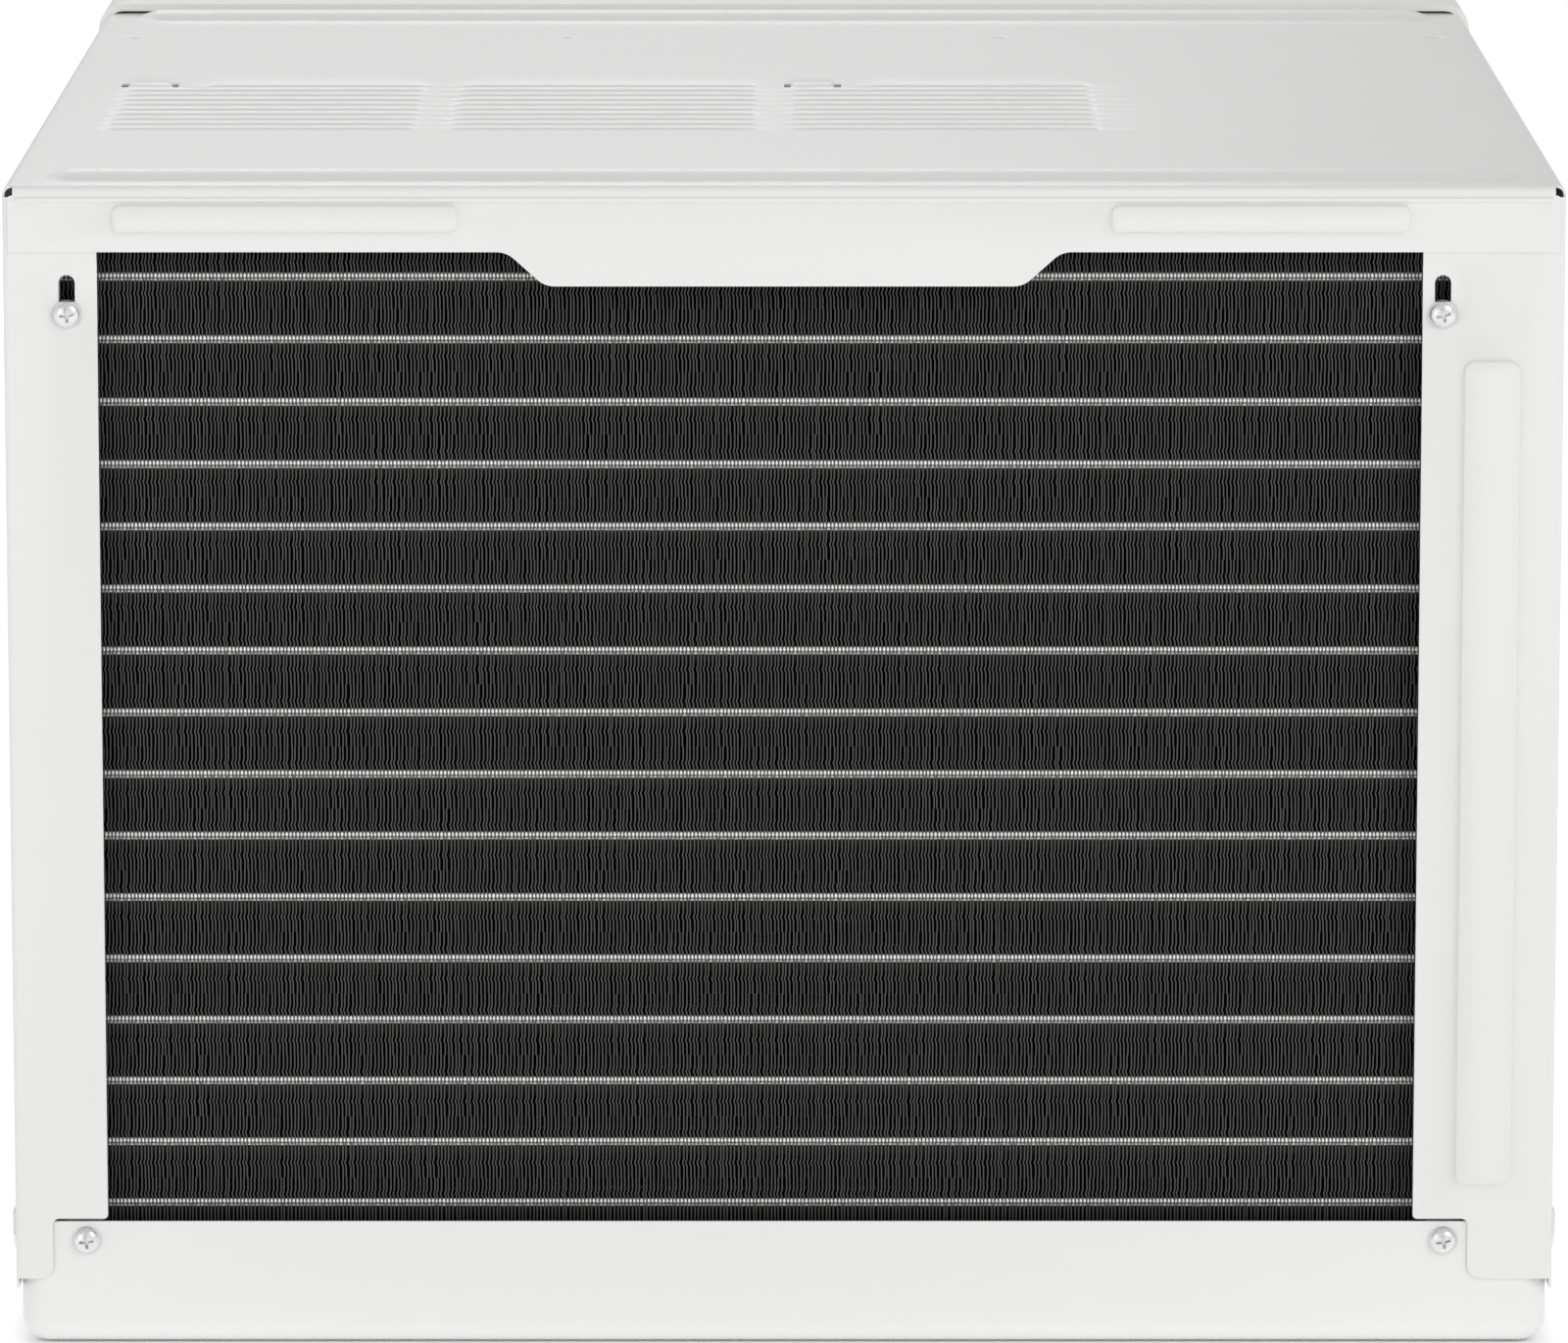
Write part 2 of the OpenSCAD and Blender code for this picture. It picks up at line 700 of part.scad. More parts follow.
module vent_door() {
    color([0.85, 0.86, 0.87]) {
        box([vent_x[0] - 2, vent_hinge_y - vent_door_t / 2, vent_z[0] - 2],
            [vent_x[1] + 2, vent_hinge_y + vent_door_t / 2, vent_hinge_z]);
        rod_x(vent_hinge_y, vent_hinge_z, vent_x[0] - 7, vent_x[1] + 7, pin_r - 0.5);
    }
}

// radius of the scroll at a part of its sweep, from 0 at the tongue to 1 at the outlet
function scroll_r(u) = scroll_r0 + scroll_growth * u;
function scroll_point(u, inset) =
    let (a = tongue_angle - scroll_sweep * u)
    [(scroll_r(u) - inset) * cos(a), fan_z + (scroll_r(u) - inset) * sin(a)];

module blower_housing() {
    steps = 40;
    outer = [for (i = [steps:-1:0]) scroll_point(i / steps, 0)];
    inner = [for (i = [0:steps]) scroll_point(i / steps, housing_t)];
    tongue = outer[steps];
    side_x = -scroll_r(1);
    color([0.93, 0.93, 0.92]) {
        along_y(housing_front_y, bulkhead_y) polygon(concat(
            [[side_x, duct_z]], outer,
            [[tongue[0], duct_z], [tongue[0] - housing_t, duct_z],
                [tongue[0] - housing_t, inner[0][1]]],
            inner, [[side_x + housing_t, duct_z]]
        ));
        difference() {
            box([side_x - 2, housing_front_y - housing_t, floor_z],
                [scroll_r(0.5), housing_front_y, duct_z]);
            on_shaft(housing_front_y - 5) cylinder(h = 10, r = wheel_r - 12, $fn = 96);
        }
    }
}

module blower_wheel() {
    hub_l = 38;
    blade_l = 15;
    color([0.2, 0.2, 0.21]) on_shaft(wheel_y) difference() {
        union() {
            translate([0, 0, wheel_w - 2]) cylinder(h = 2, r = wheel_r, $fn = 96);
            translate([0, 0, wheel_w - hub_l]) cylinder(h = hub_l, r = 14);
            difference() {
                cylinder(h = 3, r = wheel_r, $fn = 96);
                translate([0, 0, -1]) cylinder(h = 5, r = wheel_r - 13, $fn = 96);
            }
            for (i = [0:wheel_blades - 1]) rotate([0, 0, i * 360 / wheel_blades])
                translate([wheel_r - 7, 0, wheel_w / 2]) rotate([0, 0, 38])
                    cube([blade_l, 1, wheel_w - 1], center = true);
        }
        translate([0, 0, -1]) cylinder(h = wheel_w + 2, r = shaft_r + 0.05);
    }
}

module evaporator_fins() {
    color([0.75, 0.76, 0.78]) difference() {
        box([evaporator_x[0], evaporator_y, 34],
            [evaporator_x[1], evaporator_y + evaporator_d, evaporator_top]);
        coil_bores(evaporator_centres, evaporator_x[0] - 1, evaporator_x[1] + 1);
    }
}

module evaporator_tubes() {
    color([0.78, 0.5, 0.34])
        coil_tubes(evaporator_y + 2.5, evaporator_layers, evaporator_tube_z, evaporator_rows,
        evaporator_x[0] - plate_t, evaporator_x[1] + plate_t, header_x + pipe_r);
}

module evaporator_end_plates() {
    color([0.72, 0.73, 0.74]) difference() {
        for (x = [evaporator_x[0] - plate_t, evaporator_x[1]])
            box([x, evaporator_y, floor_z],
                [x + plate_t, evaporator_y + evaporator_d, evaporator_top + 2]);
        coil_bores(evaporator_centres, evaporator_x[0] - 3, evaporator_x[1] + 3);
    }
}

module discharge_duct() {
    low = [duct_x[0], duct_front_y, duct_z];
    high = [duct_x[1], bulkhead_y, duct_top_z];
    outlet_x = [-scroll_r(1) + housing_t, scroll_point(0, 0)[0] - housing_t];
    color([0.95, 0.95, 0.94]) difference() {
        box(low, high);
        box(low + [duct_t, -1, duct_t], high - [duct_t, duct_t, duct_t]);
        box([outlet_x[0], housing_front_y, duct_z - 1], [outlet_x[1], bulkhead_y - duct_t, duct_z + 5]);
        for (x = vane_x) translate([x, vane_y, duct_z - 1]) cylinder(h = 100, r = pin_r + running);
    }
}

// outlet louvres

module louvre_blade(z) {
    low_x = mouth_x[0] + slip;
    high_x = mouth_x[1] - slip;
    color([0.95, 0.95, 0.94]) {
        difference() {
            along_x(low_x, high_x) {
                translate([blade_y - blade_chord / 2 + 1, z - blade_t / 2])
                    square([blade_chord - 2, blade_t]);
                for (s = [-1, 1]) translate([blade_y + s * (blade_chord / 2 - 1), z])
                    circle(blade_t / 2);
            }
            box([link_x - link_t / 2 - 1, blade_y + blade_crank - 4.5, z - 3],
                [link_x + link_t / 2 + 1, blade_y + blade_chord, z + 3]);
        }
        rod_x(blade_y, z, mouth_x[0] - 2, mouth_x[1] + 2, pin_r - 0.5);
        rod_x(blade_y + blade_crank, z, link_x - link_t / 2 - 1.5, link_x + link_t / 2 + 1.5, 0.7);
    }
}

module louvre_blade_1() { louvre_blade(blade_z[0]); }
module louvre_blade_2() { louvre_blade(blade_z[1]); }
module louvre_blade_3() { louvre_blade(blade_z[2]); }

module louvre_link() {
    y = blade_y + blade_crank;
    color([0.9, 0.9, 0.89]) difference() {
        box([link_x - link_t / 2, y - link_half, blade_z[0] - 4],
            [link_x + link_t / 2, y + link_half, blade_z[blade_count - 1] + 4]);
        for (z = blade_z) rod_x(y, z, link_x - 5, link_x + 5, 0.7 + running);
    }
}

module vane(x) {
    low_z = duct_z + duct_t + slip;
    high_z = duct_top_z - duct_t - slip;
    color([0.93, 0.93, 0.92]) {
        difference() {
            translate([0, 0, low_z]) linear_extrude(high_z - low_z) {
                translate([x - vane_t / 2, vane_y - vane_chord / 2 + 1])
                    square([vane_t, vane_chord - 2]);
                for (s = [-1, 1]) translate([x, vane_y + s * (vane_chord / 2 - 1)]) circle(vane_t / 2);
            }
            box([x - 3, vane_y + vane_crank - 4.5, tie_z - link_t / 2 - 1],
                [x + 3, vane_y + vane_chord, tie_z + link_t / 2 + 1]);
        }
        translate([x, vane_y, duct_z + 0.2]) cylinder(h = duct_top_z - duct_z - 0.4, r = pin_r);
        translate([x, vane_y + vane_crank, tie_z - link_t / 2 - 1.5]) cylinder(h = link_t + 3, r = 0.7);
    }
}

module vane_1() { vane(vane_x[0]); }
module vane_2() { vane(vane_x[1]); }
module vane_3() { vane(vane_x[2]); }
module vane_4() { vane(vane_x[3]); }
module vane_5() { vane(vane_x[4]); }
module vane_6() { vane(vane_x[5]); }
module vane_7() { vane(vane_x[6]); }
module vane_8() { vane(vane_x[7]); }

module vane_tie(first) {
    y = vane_y + vane_crank;
    color([0.9, 0.9, 0.89]) difference() {
        box([vane_x[first] - 4, y - link_half, tie_z - link_t / 2],
            [vane_x[first + 3] + 4, y + link_half, tie_z + link_t / 2]);
        for (k = [first:first + 3]) translate([vane_x[k], y, tie_z - 5])
            cylinder(h = 10, r = 0.7 + running);
    }
}

module vane_tie_1() { vane_tie(0); }
module vane_tie_2() { vane_tie(4); }

// front

module front_bezel() {
    x = cabinet_w / 2 + bezel_side;
    top = cabinet_h + bezel_top;
    face_t = 2.5;
    hollow_x = cabinet_w / 2 + slip;
    hollow_top = cabinet_h + slip;
    color([0.94, 0.94, 0.92]) difference() {
        union() {
            difference() {
                box([-x, bezel_y, 1], [x, front_y + rim_l, top]);
                box([-hollow_x, bezel_y + face_t, 1 + bezel_t],
                    [hollow_x, front_y + rim_l + 1, hollow_top]);
                box([-hollow_x, front_y - slip, -1], [hollow_x, front_y + rim_l + 1, 10]);
                // air intake, air outlet and control openings
                box([-intake_x, bezel_y - 1, intake_z[0]], [intake_x, bezel_y + 5, intake_z[1]]);
                box([mouth_x[0], bezel_y - 1, mouth_z[0]], [mouth_x[1], bezel_y + 5, mouth_z[1]]);
                box([panel_x[0], bezel_y - 1, panel_z[0]], [panel_x[1], bezel_y + 5, panel_z[1]]);
            }
            // cheeks that carry the louvre blades
            for (c = [mouth_x[0] - 2.2, mouth_x[1]])
                box([c, bezel_y + face_t - eps, mouth_z[0] - 2],
                    [c + 2.2, duct_front_y, mouth_z[1] + 2]);
            // ears that carry the grille's hinge pins
            for (c = [-intake_x - 3, intake_x])
                box([c, bezel_y + face_t - eps, grille_hinge_z - 5],
                [c + 3, bezel_y + 8, grille_hinge_z + 5]);
            // rails above and below the filter
            for (z = [filter_z[0] - 3.5, filter_z[1] + 0.5])
                box([-hollow_x - eps, filter_y - 3, z],
                    [hollow_x + eps, filter_y + filter_t + 3, z + 3]);
            // gland boss for the supply lead
            rod_x(gland_y, gland_z, hollow_x - gland_l + 2, x, gland_r + 3);
        }
        for (z = blade_z) rod_x(blade_y, z, mouth_x[0] - 3, mouth_x[1] + 3, pin_r - 0.5 + running);
        rod_x(grille_hinge_y, grille_hinge_z, -intake_x - 4, intake_x + 4, grille_pin_r + running);
        box([hollow_x - 1, filter_y - 0.5, filter_z[0] - 0.5],
            [x + 1, filter_y + filter_t + 0.5, filter_z[1] + 0.5]);
        rod_x(gland_y, gland_z, hollow_x - gland_l - 5, x + 5, gland_r);
    }
}

module intake_grille() {
    low = [-intake_x + 0.5, bezel_y, intake_z[0] + 0.5];
    high = [intake_x - 0.5, bezel_y + grille_t, grille_hinge_z + 2.2];
    bars = 20;
    cols = 3;
    border = 9;
    pitch = (high[2] - low[2] - 2 * border) / bars;
    col_w = (high[0] - low[0] - 2 * border) / cols;
    color([0.94, 0.94, 0.92]) {
        difference() {
            box(low, high);
            for (c = [0:cols - 1], k = [0:bars - 1])
                box([low[0] + border + c * col_w + 2, low[1] - 1, low[2] + border + k * pitch + 2],
                    [low[0] + border + (c + 1) * col_w - 2, high[1] + 1, low[2] + border + (k + 1)
                        * pitch - 2]);
        }
        rod_x(grille_hinge_y, grille_hinge_z, -intake_x - 2.5, intake_x + 2.5, grille_pin_r);
    }
}

module filter_frame() {
    low = [-intake_x - 6, filter_y, filter_z[0]];
    high = [cabinet_w / 2 + 1, filter_y + filter_t, filter_z[1]];
    edge = 7;
    color([0.25, 0.26, 0.28]) difference() {
        box(low, high);
        for (c = [0:2], k = [0, 1]) {
            w = (high[0] - low[0] - 14 - 4 * edge) / 3;
            h = (high[2] - low[2] - 3 * edge) / 2;
            x = low[0] + edge + c * (w + edge);
            z = low[2] + edge + k * (h + edge);
            box([x, low[1] - 1, z], [x + w, high[1] + 1, z + h]);
        }
    }
}

module filter_mesh() {
    low = [-intake_x - 6, filter_y + 2, filter_z[0]];
    edge = 7;
    w = (intake_x + 6 + cabinet_w / 2 + 1 - 14 - 4 * edge) / 3;
    h = (filter_z[1] - filter_z[0] - 3 * edge) / 2;
    color([0.4, 0.41, 0.43]) for (c = [0:2], k = [0, 1]) {
        x = low[0] + edge + c * (w + edge);
        z = low[2] + edge + k * (h + edge);
        box([x, low[1], z], [x + w, low[1] + 1, z + h]);
    }
}

module control_fascia() {
    color([0.9, 0.9, 0.88]) {
        difference() {
            box([panel_x[0] + 0.4, fascia_y, panel_z[0] + 0.4],
                [panel_x[1] - 0.4, fascia_y + fascia_t, panel_z[1] - 0.4]);
            for (x = button_x, z = button_z) rod_y(x, z, fascia_y - 1, fascia_y + 5, button_r + slip);
            box([display_x[0], fascia_y - 1, display_z[0]], [display_x[1], fascia_y + 5, display_z[1]]);
            box([lever_x - 1.5 - slip, fascia_y - 1, lever_z - 6 - slip],
                [lever_x + 1.5 + slip, fascia_y + 5, lever_z + lever_travel + 6 + slip]);
        }
        for (x = [panel_x[0] + 18, panel_x[1] - 6], z = [panel_z[0] + 4, panel_z[1] - 4])
            rod_y(x, z, fascia_y + fascia_t - eps, board_y, 2.5);
    }
}

module display_window() {
    color([0.08, 0.09, 0.1]) box([display_x[0] + 0.1, fascia_y + 0.4, display_z[0] + 0.1],
        [display_x[1] - 0.1, fascia_y + fascia_t, display_z[1] - 0.1]);
}

module control_board() {
    color([0.1, 0.35, 0.2]) {
        box([panel_x[0] + 14, board_y, panel_z[0] + 1],
            [panel_x[1] - 1, board_y + 1.6, panel_z[1] - 1]);
        for (x = button_x, z = button_z) box([x - 3, board_y - 3, z - 3], [x + 3, board_y, z + 3]);
    }
}

module button(x, z) {
    color([0.55, 0.57, 0.6]) {
        rod_y(x, z, bezel_y, fascia_y + fascia_t, button_r);
        rod_y(x, z, fascia_y + fascia_t - eps, board_y - 3 - button_travel - slip, 2);
        rod_y(x, z, fascia_y + fascia_t + button_travel + slip - 1,
            fascia_y + fascia_t + button_travel + slip, button_r - 1);
    }
}

module button_power() { button(button_x[0], button_z[0]); }
module button_mode() { button(button_x[1], button_z[0]); }
module button_speed() { button(button_x[2], button_z[0]); }
module button_timer() { button(button_x[0], button_z[1]); }
module button_warmer() { button(button_x[1], button_z[1]); }
module button_cooler() { button(button_x[2], button_z[1]); }

module vent_lever() {
    color([0.55, 0.57, 0.6]) {
        box([lever_x - 1.5, bezel_y, lever_z - 6], [lever_x + 1.5, fascia_y + 9, lever_z + 6]);
        box([lever_x - 5, fascia_y + fascia_t + slip, lever_z - 9],
            [lever_x + 5, fascia_y + fascia_t + slip + 2, lever_z + 9]);
    }
}

module electrical_box() {
    low = [panel_x[0] - 2, board_y + 20, duct_z];
    high = [panel_x[1], bulkhead_y, duct_top_z + 1];
    color([0.78, 0.79, 0.8]) difference() {
        box(low, high);
        box(low + [1, -1, 1], high - [1, 1, 1]);
    }
}

module run_capacitor() {
    can_r = 20;
    x = panel_x[0] + 76;
    z = duct_z + 1 + can_r + slip;
    color([0.75, 0.76, 0.78]) {
        rod_y(x, z, -180, -105, can_r);
        for (s = [-6, 6]) rod_y(x + s, z, -184, -180 + eps, 2.5);
    }
}

// compressor and pipes

module compressor() {
    dome_h = 22;
    top = shell_h + 3;
    color([0.1, 0.1, 0.11]) translate([compressor_at[0], compressor_at[1], foot_z]) difference() {
        union() {
            rotate_extrude() polygon([
                [0, 0], [shell_r - 4, 0], [shell_r - 4, 3], [shell_r, 3], [shell_r, top - dome_h],
                [shell_r - 9, top - dome_h / 2], [shell_r - 32, top], [0, top]
            ]);
            translate([13, 0, top - eps]) cylinder(h = 14, r = 12);
            for (a = foot_angles) rotate([0, 0, a]) box([0, -13, 0], [foot_r + 13, 13, 2.9]);
        }
        for (a = foot_angles) rotate([0, 0, a]) translate([foot_r, 0, -1])
            cylinder(h = 5, r = stud_r + 1);
    }
}

module at_feet() {
    for (a = foot_angles)
        translate([compressor_at[0] + foot_r * cos(a), compressor_at[1] + foot_r * sin(a), 0])
        children();
}

module compressor_grommets() {
    color([0.08, 0.08, 0.08]) at_feet() difference() {
        union() {
            translate([0, 0, floor_z]) cylinder(h = foot_z - floor_z, r = grommet_r);
            translate([0, 0, floor_z]) cylinder(h = 4, r = grommet_r + 2);
        }
        cylinder(h = 40, r = stud_r + 0.2);
    }
}

module compressor_studs() {
    color([0.78, 0.78, 0.8]) at_feet() {
        translate([0, 0, floor_z]) cylinder(h = foot_z + 12 - floor_z, r = stud_r);
        translate([0, 0, foot_z + 3]) cylinder(h = 1.2, r = 9);
        translate([0, 0, foot_z + 4]) cylinder(h = 6, r = 7, $fn = 6);
    }
}

module accumulator() {
    x = accumulator_at[0];
    y = accumulator_at[1];
    color([0.12, 0.12, 0.13]) {
        translate([x, y, 70]) cylinder(h = 110, r = accumulator_r);
        translate([x, y, 60]) cylinder(h = 10, r1 = 8, r2 = accumulator_r);
        translate([x, y, 180]) cylinder(h = 10, r1 = accumulator_r, r2 = 8);
        // strap to the shell
        box([x - 8, y + accumulator_r - 1, 150], [x + 8, compressor_at[1] - shell_r - 0.1, 162]);
        // elbow into the foot of the shell
        pipe([[x, y, 61], [x, y, 42], [x, compressor_at[1] - shell_r - 0.1, 42]], pipe_r);
    }
}

module discharge_pipe() {
    shell_top = foot_z + 3 + shell_h;
    top_tube = condenser_tube_z + (condenser_rows - 1) * tube_pitch;
    x = compressor_at[0] - 18;
    color([0.78, 0.5, 0.34]) pipe([
        [x, compressor_at[1], shell_top], [x, compressor_at[1], shell_top + 24],
        [header_x, compressor_at[1], shell_top + 24], [header_x, compressor_at[1], top_tube],
        [header_x, coil_face_y - 2, top_tube]
    ], pipe_r);
}

module suction_pipe() {
    top_tube = evaporator_tube_z + (evaporator_rows - 1) * tube_pitch;
    back_y = evaporator_y + evaporator_d + 10;
    color([0.78, 0.5, 0.34]) {
        rod_y(header_x, top_tube, evaporator_y + 4, back_y, pipe_r);
        pipe([
            [header_x, back_y - 8, top_tube], [header_x, back_y, top_tube], [riser_x, back_y, top_tube],
            [riser_x, accumulator_at[1], top_tube], [accumulator_at[0], accumulator_at[1], top_tube],
            [accumulator_at[0], accumulator_at[1], 190]
        ], suction_r);
    }
}

module capillary_tube() {
    back_y = evaporator_y + evaporator_d + 10;
    color([0.78, 0.5, 0.34]) {
        pipe([[header_x, coil_face_y - 2, condenser_tube_z],
            [header_x, 150, condenser_tube_z]], pipe_r);
        // filter drier
        rod_y(header_x + 3, condenser_tube_z, 92, 152, 8);
        pipe([
            [header_x + 3, 93, condenser_tube_z], [header_x + 3, -30, condenser_tube_z],
                [header_x + 3, -30, 150],
            [riser_x, -30, 150], [riser_x, back_y, 150], [header_x, back_y, 150],
                [header_x, back_y, evaporator_tube_z]
        ], capillary_r);
        pipe([[header_x, back_y + 3, evaporator_tube_z],
            [header_x, evaporator_y + 4, evaporator_tube_z]], pipe_r);
    }
}

base_pan();
outer_cabinet();
rear_screws();
side_screws();
coil_clips();
condenser_fins();
condenser_tubes();
condenser_end_plates();
fan_shroud();
condenser_fan();
motor_shaft();
fan_motor();
motor_bracket();
motor_nuts();
bulkhead();
blower_housing();
blower_wheel();
evaporator_fins();
evaporator_tubes();
evaporator_end_plates();
discharge_duct();
louvre_blade_1();
louvre_blade_2();
louvre_blade_3();
louvre_link();
vane_1();
vane_2();
vane_3();
vane_4();
vane_5();
vane_6();
vane_7();
vane_8();
vane_tie_1();
vane_tie_2();
front_bezel();
intake_grille();
filter_frame();
filter_mesh();
control_fascia();
display_window();
control_board();
button_power();
button_mode();
button_speed();
button_timer();
button_warmer();
button_cooler();
vent_lever();
vent_door();
electrical_box();
run_capacitor();
compressor();
accumulator();
compressor_grommets();
compressor_studs();
discharge_pipe();
suction_pipe();
capillary_tube();
drain_plug();
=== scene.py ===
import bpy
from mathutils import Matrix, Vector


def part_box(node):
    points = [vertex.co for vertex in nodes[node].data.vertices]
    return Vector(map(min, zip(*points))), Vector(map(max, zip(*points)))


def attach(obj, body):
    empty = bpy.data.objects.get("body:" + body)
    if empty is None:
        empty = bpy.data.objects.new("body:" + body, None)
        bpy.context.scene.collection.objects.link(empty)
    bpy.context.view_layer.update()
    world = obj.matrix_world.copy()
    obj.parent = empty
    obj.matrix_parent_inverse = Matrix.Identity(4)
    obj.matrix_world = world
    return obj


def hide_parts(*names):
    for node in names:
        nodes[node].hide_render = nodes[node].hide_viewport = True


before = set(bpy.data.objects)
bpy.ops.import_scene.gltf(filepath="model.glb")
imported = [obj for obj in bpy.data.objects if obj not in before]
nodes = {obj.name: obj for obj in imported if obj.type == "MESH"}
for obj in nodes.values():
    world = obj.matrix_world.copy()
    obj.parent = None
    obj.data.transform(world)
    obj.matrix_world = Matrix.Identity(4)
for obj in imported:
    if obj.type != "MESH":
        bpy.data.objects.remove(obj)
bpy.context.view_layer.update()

from math import acos, atan2, cos, hypot, pi, radians, sin, sqrt, tan
import bmesh
import bpy
from mathutils import Vector
from mathutils.geometry import delaunay_2d_cdt

mm = 0.001
scene = bpy.context.scene


def corners(node):  # lowest and highest corner of a CAD node in millimetres
    low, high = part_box(node)
    return low / mm, high / mm


boxFaces = [(0, 1, 3, 2), (4, 6, 7, 5), (0, 4, 5, 1), (2, 3, 7, 6), (0, 2, 6, 4), (1, 5, 7, 3)]


class Shape:  # vertices in millimetres and faces, gathered before they become a piece
    def __init__(self):
        self.verts, self.faces = [], []

    def add(self, verts, faces):
        base = len(self.verts)
        self.verts += [Vector(v) for v in verts]
        self.faces += [tuple(base + i for i in f) for f in faces]
        return self

    def box(self, low, high):
        xs, ys, zs = zip(low, high)
        verts = [(x, y, z) for x in xs for y in ys for z in zs]
        return self.add(verts, boxFaces)

    def grid(self, point, us, vs, keep=None, closed=False):
        verts = [point(u, v) for u in us for v in vs]
        n, faces = len(vs), []
        for i in range(len(us) if closed else len(us) - 1):
            for j in range(n - 1):
                if keep is None or keep(us[i], us[(i + 1) % len(us)], vs[j], vs[j + 1]):
                    k = (i + 1) % len(us)
                    faces.append((i * n + j, i * n + j + 1, k * n + j + 1, k * n + j))
        return self.add(verts, faces)

    def lathe(self, profile, place, steps=48, start=0.0, sweep=360.0):
        whole = abs(sweep - 360) < 1e-6
        angles = [radians(start + sweep * i / steps) for i in range(steps if whole else steps + 1)]
        return self.grid(lambda a, p: place(p[0] * cos(a), p[0] * sin(a), p[1]), angles, profile,
            closed=whole)

    def rings(self, loops, cap=True):  # closed loops of equal length, joined one to the next
        n, base = len(loops[0]), len(self.verts)
        self.verts += [Vector(v) for loop in loops for v in loop]
        for k in range(len(loops) - 1):
            near, far = base + k * n, base + (k + 1) * n
            for i in range(n):
                j = (i + 1) % n
                self.faces.append((near + i, near + j, far + j, far + i))
        if cap:
            self.faces.append(tuple(base + i for i in reversed(range(n))))
            self.faces.append(tuple(base + (len(loops) - 1) * n + i for i in range(n)))
        return self

    def flat(self, outline, holes, place):  # a flat region with holes, given in two coordinates
        pts, edges = [], []
        for loop in [outline] + list(holes):
            first = len(pts)
            pts += [Vector((p[0], p[1])) for p in loop]
            edges += [(first + i, first + (i + 1) % len(loop)) for i in range(len(loop))]
        out = delaunay_2d_cdt(pts, edges, [], 2, 1e-5)
        co, tris = out[0], out[2]
        middle = lambda t: sum((co[i] for i in t), Vector((0, 0))) / len(t)
        kept = [t for t in tris if insideAll(middle(t), outline, holes)]
        return self.add([place(p.x, p.y) for p in co], kept)

    def slab(self, outline, holes, place, low, high):  # a flat region with holes, given a thickness
        self.flat(outline, holes, lambda a, b: place(a, b, low))
        self.flat(outline, holes, lambda a, b: place(a, b, high))
        for loop in [outline] + list(holes):
            self.rings([[place(a, b, low) for a, b in loop], [place(a, b, high) for a, b in loop]],
                cap=False)
        return self


def inside(p, loop):
    hit = False
    for i in range(len(loop)):
        (x0, y0), (x1, y1) = loop[i - 1][:2], loop[i][:2]
        if (y0 > p.y) != (y1 > p.y) and p.x < (x1 - x0) * (p.y - y0) / (y1 - y0) + x0:
            hit = not hit
    return hit


def insideAll(p, outline, holes):
    return inside(p, outline) and not any(inside(p, h) for h in holes)


def rounded(points, radii, steps=5):  # polygon with rounded corners, one radius or one for each corner
    out, n = [], len(points)
    for i in range(n):
        r = radii[i] if isinstance(radii, (list, tuple)) else radii
        p, a, b = (Vector(points[k % n][:2]) for k in (i, i - 1, i + 1))
        if r <= 0:
            out.append(tuple(p))
            continue
        ua, ub = (a - p).normalized(), (b - p).normalized()
        half = acos(max(-1, min(1, ua.dot(ub)))) / 2
        reach = min(r / tan(half), (a - p).length * 0.49, (b - p).length * 0.49)
        r = reach * tan(half)
        mid = p + (ua + ub).normalized() * (r / sin(half))
        v0, v1 = p + ua * reach - mid, p + ub * reach - mid
        turn = atan2(v0.x * v1.y - v0.y * v1.x, v0.dot(v1))
        for k in range(steps + 1):
            c, s = cos(turn * k / steps), sin(turn * k / steps)
            out.append((mid.x + v0.x * c - v0.y * s, mid.y + v0.x * s + v0.y * c))
    return out


def roundRect(x0, z0, x1, z1, r, steps=6):
    return rounded([(x0, z0), (x1, z0), (x1, z1), (x0, z1)], r, steps)


def steps(a, b, n):
    return [a + (b - a) * i / n for i in range(n + 1)]


def around(r, count, point):  # points evenly round a circle, each made by point(across, up)
    return [point(r * cos(a), r * sin(a)) for a in (2 * pi * i / count for i in range(count))]


def piece(shape, name, finish, body="chassis", stands=(), facing=None, solid=0.0, bevel=0.0,
          bevelSteps=2, bevelAngle=40, smooth=38, merge=0.003):
    mesh = bpy.data.meshes.new(name)
    mesh.from_pydata([v * mm for v in shape.verts], [], shape.faces)
    bm = bmesh.new()
    bm.from_mesh(mesh)
    bmesh.ops.remove_doubles(bm, verts=bm.verts, dist=merge * mm)
    bmesh.ops.dissolve_degenerate(bm, edges=bm.edges, dist=1e-7)
    loose = [v for v in bm.verts if not v.link_faces]
    bmesh.ops.delete(bm, geom=loose, context="VERTS")
    bmesh.ops.recalc_face_normals(bm, faces=bm.faces)
    if facing is not None and sum(f.normal.dot(facing(f.calc_center_median() / mm)) * f.calc_area()
        for f in bm.faces) < 0:
        bmesh.ops.reverse_faces(bm, faces=bm.faces)
    bm.to_mesh(mesh)
    bm.free()
    obj = bpy.data.objects.new(name, mesh)
    scene.collection.objects.link(obj)
    mesh.materials.append(finish)
    mesh.shade_smooth()
    if not bevel:
        mesh.set_sharp_from_angle(angle=radians(smooth))
    if solid:
        mod = obj.modifiers.new("wall", "SOLIDIFY")
        mod.thickness, mod.offset, mod.use_even_offset = solid * mm, -1, True
    if bevel:
        mod = obj.modifiers.new("edges", "BEVEL")
        mod.width, mod.segments, mod.limit_method = bevel * mm, bevelSteps, "ANGLE"
        mod.angle_limit, mod.harden_normals, mod.use_clamp_overlap = radians(bevelAngle), True, True
    plain(obj)
    if solid and not bevel:
        obj.data.set_sharp_from_angle(angle=radians(smooth))
    return settle(obj, body, stands)


